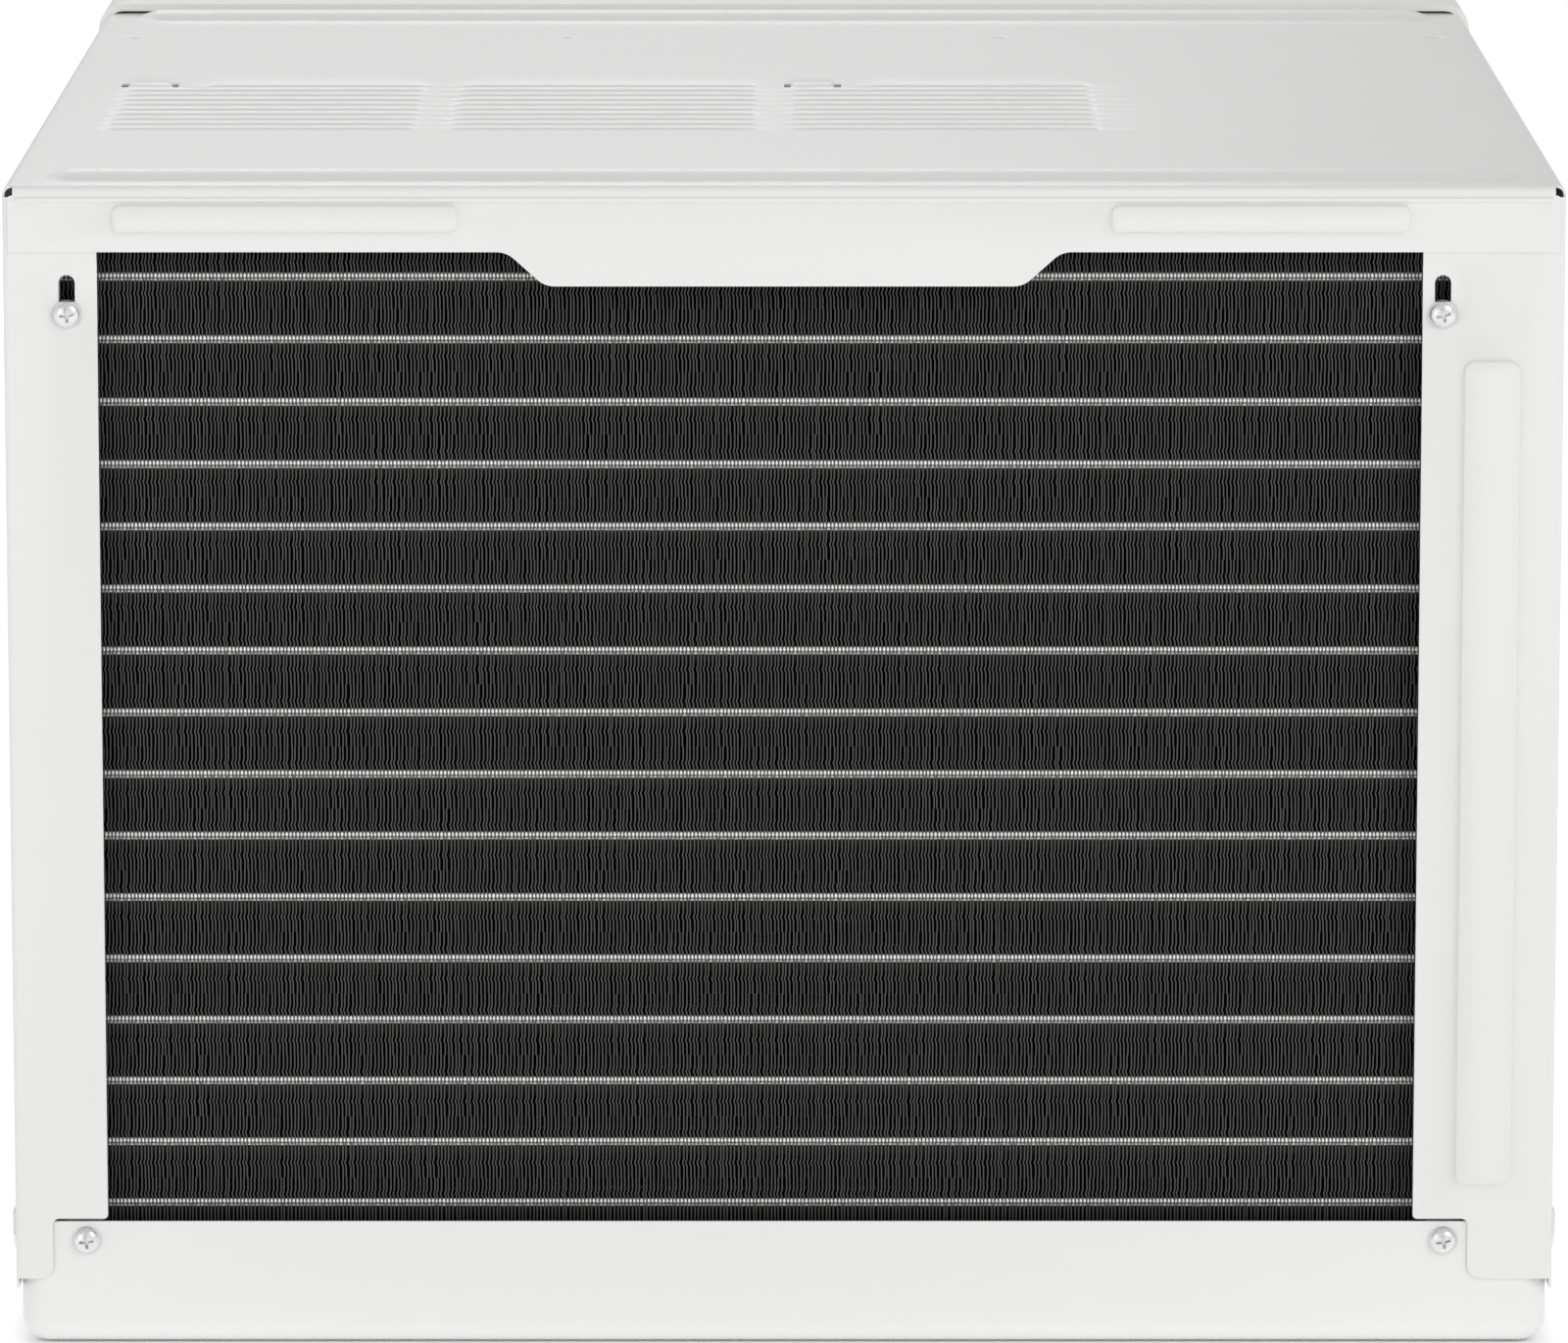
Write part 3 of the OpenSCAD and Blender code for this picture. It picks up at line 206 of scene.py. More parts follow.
def plain(obj):  # the evaluated result becomes a plain mesh and the modifiers go
    bpy.context.view_layer.update()
    graph = bpy.context.evaluated_depsgraph_get()
    made = bpy.data.meshes.new_from_object(obj.evaluated_get(graph), preserve_all_data_layers=True,
        depsgraph=graph)
    old = obj.data
    obj.modifiers.clear()
    obj.data = made
    made.name = obj.name
    if old.users == 0:
        bpy.data.meshes.remove(old)
    return obj


def settle(obj, body, stands=()):
    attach(obj, body)
    if stands:
        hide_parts(*stands)
    return obj


def newTree(name, sockets):  # a Geometry Nodes tree with named inputs
    tree = bpy.data.node_groups.new(name, "GeometryNodeTree")
    tree.interface.new_socket("Geometry", in_out="INPUT", socket_type="NodeSocketGeometry")
    for label, kind, value in sockets:
        made = tree.interface.new_socket(label, in_out="INPUT", socket_type="NodeSocket" + kind)
        if value is not None:
            made.default_value = value
    tree.interface.new_socket("Geometry", in_out="OUTPUT", socket_type="NodeSocketGeometry")
    return tree, tree.nodes.new("NodeGroupInput"), tree.nodes.new("NodeGroupOutput")


def addNode(tree, kind, links=None, **settings):
    node = tree.nodes.new(kind)
    for key, value in settings.items():
        setattr(node, key, value)
    for socket, source in (links or {}).items():
        target = node.inputs[socket]
        if isinstance(source, bpy.types.NodeSocket):
            tree.links.new(source, target)
        else:
            target.default_value = source
    return node


def closeTree(tree, start, end, geometry):  # every tree ends in real geometry with its finish
    real = addNode(tree, "GeometryNodeRealizeInstances", {"Geometry": geometry})
    coat = addNode(tree, "GeometryNodeSetMaterial", {"Geometry": real.outputs[0],
        "Material": start.outputs["Finish"]})
    tree.links.new(coat.outputs[0], end.inputs[0])
    return tree


def growRows():  # copies of the host's mesh in rows and columns
    tree, start, end = newTree("rowsOfCopies", [
        ("Across", "Int", 1), ("Up", "Int", 1), ("Start", "Vector", (0, 0, 0)),
        ("Step across", "Vector", (0, 0, 0)), ("Step up", "Vector", (0, 0, 0)),
        ("Shake", "Float", 0.0), ("Lean", "Float", 0.0), ("Seed", "Int", 1), ("Finish", "Material", None)])
    o = start.outputs
    up = addNode(tree, "GeometryNodeMeshLine", {"Count": o["Up"], "Offset": o["Step up"]}, mode="OFFSET")
    across = addNode(tree, "GeometryNodeMeshLine", {"Count": o["Across"], "Offset": o["Step across"],
        "Start Location": o["Start"]}, mode="OFFSET")
    field = addNode(tree, "GeometryNodeInstanceOnPoints", {"Points": up.outputs[0],
        "Instance": across.outputs[0]})
    flat = addNode(tree, "GeometryNodeRealizeInstances", {"Geometry": field.outputs[0]})
    size = addNode(tree, "ShaderNodeCombineXYZ", {0: o["Shake"], 1: 0.0, 2: 0.0})
    back = addNode(tree, "ShaderNodeVectorMath", {0: size.outputs[0]}, operation="SCALE")
    back.inputs["Scale"].default_value = -1
    shake = addNode(tree, "FunctionNodeRandomValue", {"Min": back.outputs[0], "Max": size.outputs[0],
        "Seed": o["Seed"]}, data_type="FLOAT_VECTOR")
    moved = addNode(tree, "GeometryNodeSetPosition", {"Geometry": flat.outputs[0],
        "Offset": shake.outputs[0]})
    tilt = addNode(tree, "ShaderNodeCombineXYZ", {0: 0.0, 1: 0.0, 2: o["Lean"]})
    untilt = addNode(tree, "ShaderNodeVectorMath", {0: tilt.outputs[0]}, operation="SCALE")
    untilt.inputs["Scale"].default_value = -1
    lean = addNode(tree, "FunctionNodeRandomValue", {"Min": untilt.outputs[0], "Max": tilt.outputs[0],
        "Seed": o["Seed"]}, data_type="FLOAT_VECTOR")
    copies = addNode(tree, "GeometryNodeInstanceOnPoints", {"Points": moved.outputs[0],
        "Instance": o["Geometry"], "Rotation": lean.outputs[0]})
    return closeTree(tree, start, end, copies.outputs[0])


def growRing():  # copies of the host's mesh round the Y axis, then moved to a hub
    tree, start, end = newTree("ringOfCopies", [
        ("Count", "Int", 3), ("Turn", "Float", 2 * pi), ("Hub", "Vector", (0, 0, 0)),
        ("Seed", "Int", 1), ("Finish", "Material", None)])
    o = start.outputs
    line = addNode(tree, "GeometryNodeMeshLine", {"Count": o["Count"], "Offset": (0, 0, 0)}, mode="OFFSET")
    index = addNode(tree, "GeometryNodeInputIndex")
    share = addNode(tree, "ShaderNodeMath", {0: o["Turn"], 1: o["Count"]}, operation="DIVIDE")
    angle = addNode(tree, "ShaderNodeMath", {0: index.outputs[0], 1: share.outputs[0]},
        operation="MULTIPLY")
    spin = addNode(tree, "ShaderNodeCombineXYZ", {0: 0.0, 1: angle.outputs[0], 2: 0.0})
    copies = addNode(tree, "GeometryNodeInstanceOnPoints", {"Points": line.outputs[0],
        "Instance": o["Geometry"], "Rotation": spin.outputs[0]})
    moved = addNode(tree, "GeometryNodeTransform", {"Geometry": copies.outputs[0], "Translation": o["Hub"]})
    return closeTree(tree, start, end, moved.outputs[0])


def growPipe():  # a round tube along the host's edges, its corners bent to a radius
    tree, start, end = newTree("pipeAlongPath", [
        ("Radius", "Float", 0.004), ("Bend", "Float", 0.01), ("Sides", "Int", 16),
        ("Bend steps", "Int", 6), ("Seed", "Int", 1), ("Finish", "Material", None)])
    o = start.outputs
    curve = addNode(tree, "GeometryNodeMeshToCurve", {"Mesh": o["Geometry"]})
    bent = addNode(tree, "GeometryNodeFilletCurve", {"Curve": curve.outputs[0], "Count": o["Bend steps"],
        "Radius": o["Bend"], "Limit Radius": True}, mode="POLY")
    ring = addNode(tree, "GeometryNodeCurvePrimitiveCircle", {"Resolution": o["Sides"],
        "Radius": o["Radius"]}, mode="RADIUS")
    tube = addNode(tree, "GeometryNodeCurveToMesh", {"Curve": bent.outputs[0],
        "Profile Curve": ring.outputs[0], "Fill Caps": True})
    return closeTree(tree, start, end, tube.outputs[0])


def growScrews():  # one screw at each of the host's points, its head along the point's own direction
    tree, start, end = newTree("screwsAtPoints", [
        ("Screw", "Object", None), ("Size", "Float", 1.0), ("Turn", "Float", 6.28),
        ("Seed", "Int", 3), ("Finish", "Material", None)])
    o = start.outputs
    screw = addNode(tree, "GeometryNodeObjectInfo", {"Object": o["Screw"]}, transform_space="ORIGINAL")
    way = addNode(tree, "GeometryNodeInputNamedAttribute", {"Name": "way"}, data_type="FLOAT_VECTOR")
    aim = addNode(tree, "FunctionNodeAlignRotationToVector", {"Vector": way.outputs[0]}, axis="Z")
    turn = addNode(tree, "FunctionNodeRandomValue", {"Seed": o["Seed"]}, data_type="FLOAT")
    tree.links.new(o["Turn"], [s for s in turn.inputs if s.name == "Max" and s.type == "VALUE"][0])
    spin = addNode(tree, "ShaderNodeCombineXYZ", {0: 0.0, 1: 0.0,
        2: [s for s in turn.outputs if s.type == "VALUE"][0]})
    both = addNode(tree, "FunctionNodeRotateRotation", {"Rotation": aim.outputs[0],
        "Rotate By": spin.outputs[0]}, rotation_space="LOCAL")
    copies = addNode(tree, "GeometryNodeInstanceOnPoints", {"Points": o["Geometry"],
        "Instance": screw.outputs["Geometry"], "Rotation": both.outputs[0]})
    scaled = addNode(tree, "GeometryNodeScaleInstances", {"Instances": copies.outputs[0],
        "Scale": o["Size"]})
    return closeTree(tree, start, end, scaled.outputs[0])


rowTree, ringTree, pipeTree, screwTree = growRows(), growRing(), growPipe(), growScrews()


def grown(shape, name, tree, values, finish, smooth=38, edges=(), ways=None, merge=0.003):
    mesh = bpy.data.meshes.new(name)
    mesh.from_pydata([v * mm for v in shape.verts], list(edges), shape.faces)
    if shape.faces:
        bm = bmesh.new()
        bm.from_mesh(mesh)
        bmesh.ops.remove_doubles(bm, verts=bm.verts, dist=merge * mm)
        bmesh.ops.recalc_face_normals(bm, faces=bm.faces)
        bm.to_mesh(mesh)
        bm.free()
        mesh.shade_smooth()
        mesh.set_sharp_from_angle(angle=radians(smooth))
    if ways:
        way = mesh.attributes.new("way", "FLOAT_VECTOR", "POINT")
        way.data.foreach_set("vector", [c for w in ways for c in w])
    obj = bpy.data.objects.new(name, mesh)
    scene.collection.objects.link(obj)
    mod = obj.modifiers.new("growth", "NODES")
    mod.node_group = tree
    for item in tree.interface.items_tree:
        if item.in_out == "INPUT" and item.name in values:
            mod[item.identifier] = values[item.name]
        if item.in_out == "INPUT" and item.name == "Finish":
            mod[item.identifier] = finish
    plain(obj)
    if "way" in obj.data.attributes:
        obj.data.attributes.remove(obj.data.attributes["way"])
    obj.data.shade_smooth()
    obj.data.set_sharp_from_angle(angle=radians(smooth))
    return obj


def rows(shape, name, finish, across, up, stepX, stepUp, start, shake=0.0, lean=0.0, seed=1, smooth=38):
    return grown(shape, name, rowTree, {"Across": across, "Up": up, "Step across": (stepX * mm, 0, 0),
        "Step up": (0, 0, stepUp * mm), "Start": tuple(v * mm for v in start), "Shake": shake,
        "Lean": lean, "Seed": seed}, finish, smooth=smooth)


def carve(obj, tool, smooth):  # cuts the tool's shape out of a piece
    mod = obj.modifiers.new("cut", "BOOLEAN")
    mod.operation, mod.solver, mod.object = "DIFFERENCE", "EXACT", tool
    plain(obj)
    bpy.data.objects.remove(tool)
    obj.data.shade_smooth()
    obj.data.set_sharp_from_angle(angle=radians(smooth))


def joined(objs, name):  # several plain meshes become one piece
    bm = bmesh.new()
    for o in objs:
        bm.from_mesh(o.data)
    mesh = bpy.data.meshes.new(name)
    bm.to_mesh(mesh)
    bm.free()
    for m in objs[0].data.materials:
        mesh.materials.append(m)
    for o in objs:
        bpy.data.objects.remove(o)
    obj = bpy.data.objects.new(name, mesh)
    scene.collection.objects.link(obj)
    return obj


print("tools ready")


def finish(name, color, rough, metallic=0.0, second=None, blotch=6.0, mix=0.35, stretch=(1, 1, 1),
           grain=900.0, bump=0.15, depth=0.0001, roughSpread=0.08, cells=False, coat=0.0):
    mat = bpy.data.materials.new(name)
    mat.use_nodes = True
    tree = mat.node_tree
    shader = tree.nodes["Principled BSDF"]
    shader.inputs["Metallic"].default_value = metallic
    shader.inputs["IOR"].default_value = 1.5
    shader.inputs["Coat Weight"].default_value = coat
    place = addNode(tree, "ShaderNodeTexCoord")
    mapped = addNode(tree, "ShaderNodeMapping", {"Vector": place.outputs["Object"], "Scale": stretch})
    broad = addNode(tree, "ShaderNodeTexNoise", {"Vector": mapped.outputs[0], "Scale": blotch,
        "Detail": 4.0, "Roughness": 0.6})
    shade = addNode(tree, "ShaderNodeMapRange", {"Value": broad.outputs["Fac"], "From Min": 0.35,
        "From Max": 0.65, "To Min": 0.0, "To Max": mix})
    other = second or tuple(c * 0.86 for c in color)
    tone = addNode(tree, "ShaderNodeMix", {"Factor": shade.outputs[0], "A": (*color, 1), "B": (*other, 1)},
        data_type="RGBA")
    for key, value in (("A", color), ("B", other)):
        [s for s in tone.inputs if s.name == key and s.type == "RGBA"][0].default_value = (*value, 1)
    if cells:
        fine = addNode(tree, "ShaderNodeTexVoronoi", {"Vector": mapped.outputs[0], "Scale": grain})
        relief = fine.outputs["Distance"]
    else:
        fine = addNode(tree, "ShaderNodeTexNoise", {"Vector": mapped.outputs[0], "Scale": grain,
            "Detail": 3.0})
        relief = fine.outputs["Fac"]
    gloss = addNode(tree, "ShaderNodeMapRange", {"Value": relief, "From Min": 0.25, "From Max": 0.75,
        "To Min": max(0.03, rough - roughSpread), "To Max": rough + roughSpread})
    raised = addNode(tree, "ShaderNodeBump", {"Height": relief, "Strength": bump, "Distance": depth})
    tree.links.new([s for s in tone.outputs if s.type == "RGBA"][0], shader.inputs["Base Color"])
    tree.links.new(gloss.outputs[0], shader.inputs["Roughness"])
    tree.links.new(raised.outputs[0], shader.inputs["Normal"])
    return mat


shellPaint = finish("shellPaint", (0.80, 0.80, 0.785), 0.36, mix=0.10, grain=420, bump=0.05, depth=0.0001)
shellPaint.node_tree.nodes["Principled BSDF"].inputs["Specular IOR Level"].default_value = 0.3
panPaint = finish("panPaint", (0.815, 0.815, 0.80), 0.38, mix=0.10, grain=380, bump=0.10, depth=0.00012)
screwZinc = finish("screwZinc", (0.80, 0.81, 0.80), 0.24, metallic=0.75, mix=0.3, blotch=300, grain=2500,
    bump=0.05)
galvanised = finish("galvanised", (0.52, 0.54, 0.55), 0.42, metallic=0.85, second=(0.66, 0.68, 0.69),
    mix=0.8, blotch=90, grain=70, bump=0.12, depth=0.0002, cells=True)
finStock = finish("finStock", (0.064, 0.064, 0.060), 0.6, metallic=0.0, second=(0.048, 0.048, 0.045),
    mix=0.5, blotch=160, grain=700, bump=0.1)
finTree = finStock.node_tree  # the fins are dull at their front edges and darkened to near black deeper in, painted shade inside the coil between the fins
finShader = finTree.nodes["Principled BSDF"]
finPlace = addNode(finTree, "ShaderNodeTexCoord")
finDepth = addNode(finTree, "ShaderNodeSeparateXYZ", {0: finPlace.outputs["Object"]})
finPaintedShade = addNode(finTree, "ShaderNodeMapRange", {"Value": finDepth.outputs["Y"], "From Min": 0.2638,
    "From Max": 0.26436, "To Min": 0.02, "To Max": 1.0})
finTone = finShader.inputs["Base Color"].links[0].from_socket
# near-black colour mixed in behind the fin fronts: painted shade in the gaps between fins
finShadeMix = addNode(finTree, "ShaderNodeMixRGB", {"Fac": finPaintedShade.outputs[0],
    "Color1": (0.004, 0.004, 0.004, 1), "Color2": finTone})
finTree.links.new(finShadeMix.outputs[0], finShader.inputs["Base Color"])
coolFins = finish("coolFins", (0.62, 0.64, 0.66), 0.36, metallic=0.75, second=(0.48, 0.50, 0.52), mix=0.5,
    blotch=40, grain=700)
# white, nearly matt colour for thin rods in front of the tubes: painted highlights on the condenser tubes
brightTube = finish("brightTube", (0.95, 0.95, 0.93), 0.32, metallic=0.0, mix=0.1, blotch=60, grain=1800,
    bump=0.04)
copper = finish("copper", (0.72, 0.36, 0.22), 0.32, metallic=0.95, second=(0.42, 0.22, 0.14), mix=0.8,
    blotch=26, grain=1200, bump=0.1)
# near-black tube colour, painted shade on the condenser tubes behind the fins, so only the white rods read
# bright
darkTube = finish("darkTube", (0.07, 0.055, 0.045), 0.55, metallic=0.5, mix=0.6, blotch=30, grain=900)
whitePlastic = finish("whitePlastic", (0.82, 0.82, 0.795), 0.44, mix=0.10, grain=2600, bump=0.22,
    depth=0.00006, cells=True)
louvrePlastic = finish("louvrePlastic", (0.80, 0.80, 0.775), 0.36, mix=0.12, grain=2200, bump=0.14,
    depth=0.00005)
blackPlastic = finish("blackPlastic", (0.025, 0.026, 0.028), 0.42, second=(0.045, 0.045, 0.048), mix=0.7,
    blotch=40, grain=1700, bump=0.2, depth=0.00006, cells=True)
blackPaint = finish("blackPaint", (0.018, 0.018, 0.02), 0.34, second=(0.05, 0.045, 0.042), mix=0.7,
    blotch=18, grain=600, bump=0.16, depth=0.00012)
motorPaint = finish("motorPaint", (0.16, 0.17, 0.18), 0.40, second=(0.10, 0.105, 0.11), mix=0.7, blotch=28,
    grain=700, bump=0.18, depth=0.0001)
groundSteel = finish("groundSteel", (0.66, 0.67, 0.68), 0.26, metallic=0.95, mix=0.4, blotch=30,
    stretch=(1, 14, 1), grain=500, bump=0.08)
whiteFoam = finish("whiteFoam", (0.86, 0.86, 0.85), 0.85, second=(0.74, 0.75, 0.76), mix=0.5, blotch=45,
    grain=260, bump=0.6, depth=0.0005, cells=True)
filterPlastic = finish("filterPlastic", (0.10, 0.11, 0.125), 0.48, mix=0.5, blotch=50, grain=1500, bump=0.2)
netNylon = finish("netNylon", (0.16, 0.17, 0.19), 0.5, mix=0.5, blotch=120, grain=3000)
darkGlass = finish("darkGlass", (0.008, 0.009, 0.011), 0.07, second=(0.014, 0.015, 0.018), mix=0.5,
    grain=900, bump=0.01, roughSpread=0.02, coat=0.6)
boardGreen = finish("boardGreen", (0.02, 0.16, 0.07), 0.38, second=(0.03, 0.24, 0.10), mix=1.0, blotch=420,
    stretch=(1, 1, 0.25), grain=900, bump=0.2)
keyGrey = finish("keyGrey", (0.32, 0.34, 0.37), 0.42, mix=0.3, blotch=120, grain=2600, bump=0.2,
    depth=0.00005)
canAlloy = finish("canAlloy", (0.74, 0.75, 0.77), 0.28, metallic=0.9, mix=0.3, blotch=30,
    stretch=(10, 1, 10), grain=400, bump=0.06)
rubber = finish("rubber", (0.02, 0.02, 0.02), 0.72, second=(0.05, 0.048, 0.046), mix=0.6, blotch=60,
    grain=900, bump=0.4)
print("finishes ready")

# camera, floor and lights
view = {"lens": 229.1, "back": 3.1007, "height": 0.7706, "pitch": 10.09}
cabLow, cabHigh = corners("outer_cabinet")
panLow, panHigh = corners("base_pan")
flangeY = corners("coil_clips")[1].y + 0.8  # outer face of the side flanges
rearY = flangeY + 0.8
cam = bpy.data.objects.new("camera", bpy.data.cameras.new("camera"))
scene.collection.objects.link(cam)
cam.data.lens, cam.data.sensor_width = view["lens"], 36
cam.location = (0, rearY * mm + view["back"], view["height"])
cam.rotation_euler = (radians(90 - view["pitch"]), 0, radians(180))
cam.data.clip_start, cam.data.clip_end = 0.05, 100
scene.camera = cam
scene.view_settings.view_transform = "Standard"

world = bpy.data.worlds.new("studio")
scene.world = world
world.use_nodes = True
sky = world.node_tree
skyPlace = addNode(sky, "ShaderNodeTexCoord")
skySplit = addNode(sky, "ShaderNodeSeparateXYZ", {0: skyPlace.outputs["Generated"]})
skyLevel = addNode(sky, "ShaderNodeMapRange", {"Value": skySplit.outputs["Z"], "From Min": 0.02,
    "From Max": 0.75, "To Min": 1.0, "To Max": 0.70})
skySide = addNode(sky, "ShaderNodeMapRange", {"Value": skySplit.outputs["Y"], "From Min": -0.6,
    "From Max": 0.5, "To Min": 0.705, "To Max": 0.886})
skyMix = addNode(sky, "ShaderNodeMath", {0: skyLevel.outputs[0], 1: skySide.outputs[0]},
    operation="MULTIPLY")
sky.links.new(skyMix.outputs[0], sky.nodes["Background"].inputs["Strength"])
sky.nodes["Background"].inputs["Color"].default_value = (1, 1, 1, 1)

floorMesh = bpy.data.meshes.new("floor")
floorMesh.from_pydata([(-9, -9, 0), (9, -9, 0), (9, 9, 0), (-9, 9, 0)], [], [(0, 1, 2, 3)])
floor = bpy.data.objects.new("floor", floorMesh)
scene.collection.objects.link(floor)
floor.location.z = -0.0005
floorMesh.materials.append(finish("floorWhite", (0.93, 0.93, 0.93), 0.7, mix=0.02, blotch=0.5, grain=60,
    bump=0.0))
glow = floorMesh.materials[0].node_tree.nodes["Principled BSDF"]
glow.inputs["Emission Color"].default_value = (1, 1, 1, 1)
under = floorMesh.materials[0].node_tree  # the floor's glow fades to nothing where the unit stands on it, a painted contact shadow under the pan
underPlace = addNode(under, "ShaderNodeTexCoord")
underSplit = addNode(under, "ShaderNodeSeparateXYZ", {0: underPlace.outputs["Object"]})
underX = addNode(under, "ShaderNodeMath", {0: underSplit.outputs["X"]}, operation="ABSOLUTE")
underShift = addNode(under, "ShaderNodeMath", {0: underSplit.outputs["Y"], 1: 0.026}, operation="SUBTRACT")
underY = addNode(under, "ShaderNodeMath", {0: underShift.outputs[0]}, operation="ABSOLUTE")
underEdge = addNode(under, "ShaderNodeMath", {0: underX.outputs[0], 1: underY.outputs[0]},
    operation="MAXIMUM")
shadowedFloorGlow = addNode(under, "ShaderNodeMapRange", {"Value": underEdge.outputs[0], "From Min": 0.236,
    "From Max": 0.249, "To Min": 0.0, "To Max": 0.37})
under.links.new(shadowedFloorGlow.outputs[0], glow.inputs["Emission Strength"])

lamps = {"key": ((-2.6, 3.4, 2.9), 2.2, 41), "fill": ((2.8, 3.6, 1.2), 2.4, 11.5),
    "rim": ((0.2, -2.6, 1.7), 1.0, 7), "front": ((1.6, -3.6, 2.4), 2.0, 11)}
for label, (spot, size, power) in lamps.items():
    lamp = bpy.data.objects.new(label, bpy.data.lights.new(label, "AREA"))
    lamp.data.energy, lamp.data.size, lamp.data.shape = power, size, "SQUARE"
    lamp.location = spot
    lamp.rotation_euler = (Vector((0, 0, 0.18)) - Vector(spot)).to_track_quat("-Z", "Y").to_euler()
    lamp.visible_camera = False
    scene.collection.objects.link(lamp)
print("studio ready")

# outer cabinet: one sheet folded over the top and both sides, with pressed louvres, beads and slots
cabinet = {"sheet": 0.8, "foldRadius": 3.0, "rearFold": 2.5, "sideFold": 1.6,
    "rows": 10, "rowPitch": 13.3, "rowLength": 105.0, "groupGap": 7.3, "firstRow": 149.0,
    "groupStart": 224.7, "drop": 3.6, "bridge": 19.4, "beadRise": 3.0, "beadHalf": 10.0,
    "holePitch": 153.4, "holeRadius": 2.0, "railBack": 413.5}
sideSlots = {"spans": ((50, 120), (130, 200)), "count": 12, "first": 100, "pitch": 14, "gap": 3,
    "hood": 7.5, "lift": 2.3}
slotZs = [sideSlots["first"] + sideSlots["pitch"] * k for k in range(sideSlots["count"])]
halfW = cabHigh.x
topZ = cabHigh.z - cabinet["beadRise"]
skirtZ = cabLow.z
frontY = cabLow.y
beadYs = (rearY - 22, rearY - 476)
railY = rearY - cabinet["railBack"]
holeXs = [cabinet["holePitch"] * k for k in (-1.5, -0.5, 0.5, 1.5)]
rowYs = [rearY - cabinet["firstRow"] - cabinet["rowPitch"] * k for k in range(cabinet["rows"])]
groupXs = [cabinet["groupStart"] - g * (cabinet["rowLength"] + cabinet["groupGap"]) for g in range(3)]


def rowSpan(g, k):
    start = groupXs[g] - (cabinet["bridge"] + 6.5 if k == cabinet["rows"] - 1 and g != 1 else 0)
    return groupXs[g] - cabinet["rowLength"], start


def beadRise(x, y):
    for by in beadYs:
        reach = halfW - 12.5 - cabinet["beadHalf"]
        d = hypot(max(0.0, abs(x) - reach), y - by)
        if d < cabinet["beadHalf"]:
            big = (cabinet["beadHalf"] ** 2 + cabinet["beadRise"] ** 2) / (2 * cabinet["beadRise"])
            return sqrt(big * big - d * d) - big + cabinet["beadRise"]
    return 0.0


def louvreTaper(x, low, high):
    return max(0.0, min(1.0, (x - low) / 4.0, (high - x) / 7.0))


def topRise(x, y):
    rise = beadRise(x, y)
    for k, ry in enumerate(rowYs):
        if abs(y - ry) < 4.51:
            for g in range(3):
                low, high = rowSpan(g, k)
                if low < x < high:
                    t = louvreTaper(x, low, high)
                    u = (y - ry + 4.5) / 8.0
                    if u < 1.01:
                        rise -= cabinet["drop"] * t * (3 * u * u - 2 * u ** 3 if u < 0.5 else u)
                bridgeLow, bridgeHigh = groupXs[g] - cabinet["bridge"] + 2.4, groupXs[g] - 2.4
                if k == cabinet["rows"] - 1 and g != 1 and bridgeLow < x < bridgeHigh:
                    rise += 0.9 * max(0.0, 1 - ((y - ry) / 4.5) ** 4)
    return rise


def topOpen(x0, x1, y0, y1):  # cells of the top sheet that are cut away
    x, y = (x0 + x1) / 2, (y0 + y1) / 2
    for k, ry in enumerate(rowYs):
        if ry + 3.49 < y < ry + 4.51:
            for g in range(3):
                low, high = rowSpan(g, k)
                if low < x < high and louvreTaper(x, low, high) > 0.3:
                    return True
        if k == cabinet["rows"] - 1 and abs(y - ry) < 4.2:
            for edge in (groupXs[0], groupXs[2]):
                far = edge - cabinet["bridge"]
                if edge - 2.4 < x < edge or far < x < far + 2.4:
                    return True
    return abs(y - railY) < 3.9 and any(abs(x - hx) < 3.9 for hx in holeXs)


xs = {halfW - 3, 3 - halfW}
for g in range(3):
    for k in (0, 9):
        low, high = rowSpan(g, k)
        xs |= {low, low + 1.3, low + 2.6, low + 4, high, high - 2.1, high - 4.5, high - 7}
for g in (0, 2):
    bridge = cabinet["bridge"]
    xs |= {groupXs[g] - c for c in (0, 2.4, 3.2, bridge - 3.2, bridge - 2.4, bridge)}
for hx in holeXs:
    xs |= {hx - 4, hx + 4}
for s in (-1, 1):
    xs |= {s * (halfW - 22.5 + d) for d in (0, 3, 5.5, 7.5, 8.8, 9.6, 10.2)}
xs |= set(steps(3 - halfW, halfW - 3, 28))
ys = {frontY, rearY - cabinet["rearFold"], railY - 4, railY + 4}
for ry in rowYs:
    ys |= {ry + d for d in (-4.5, -3.2, -1.8, -0.5, 1.5, 3.5, 4.5)}
for by in beadYs:
    ys |= {by + d for d in (-10.3, -9.6, -8.2, -6, -3.5, 0, 3.5, 6, 8.2, 9.6, 10.3)}
for a, b in sideSlots["spans"]:
    ys |= {a, a + 2, a + 5, b - 5, b - 2, b}
ys |= set(steps(frontY, rearY - 2.5, 22))


def thinned(values, gap):
    out = []
    for v in sorted(values):
        if not out or v - out[-1] > gap:
            out.append(v)
    return out


xs, ys = thinned(xs, 0.35), thinned(ys, 0.35)
sideZs = {skirtZ, topZ - cabinet["foldRadius"]}
for z in slotZs:
    sideZs |= {z, z + 3, z + 4.2, z + 6, z + 8, z + 10.5}
sideZs |= {34.5, 36, 39, 42, 43.5} | set(steps(skirtZ, 95, 3)) | {290, 320, 345}
sideZs = thinned(sideZs, 0.35)
across = [("side", 1, z) for z in sideZs] + [("fold", 1, a) for a in (18, 36, 54, 72)]
across += [("top", 1, x) for x in reversed(xs)]
across += [("fold", -1, a) for a in (72, 54, 36, 18)] + [("side", -1, z) for z in reversed(sideZs)]


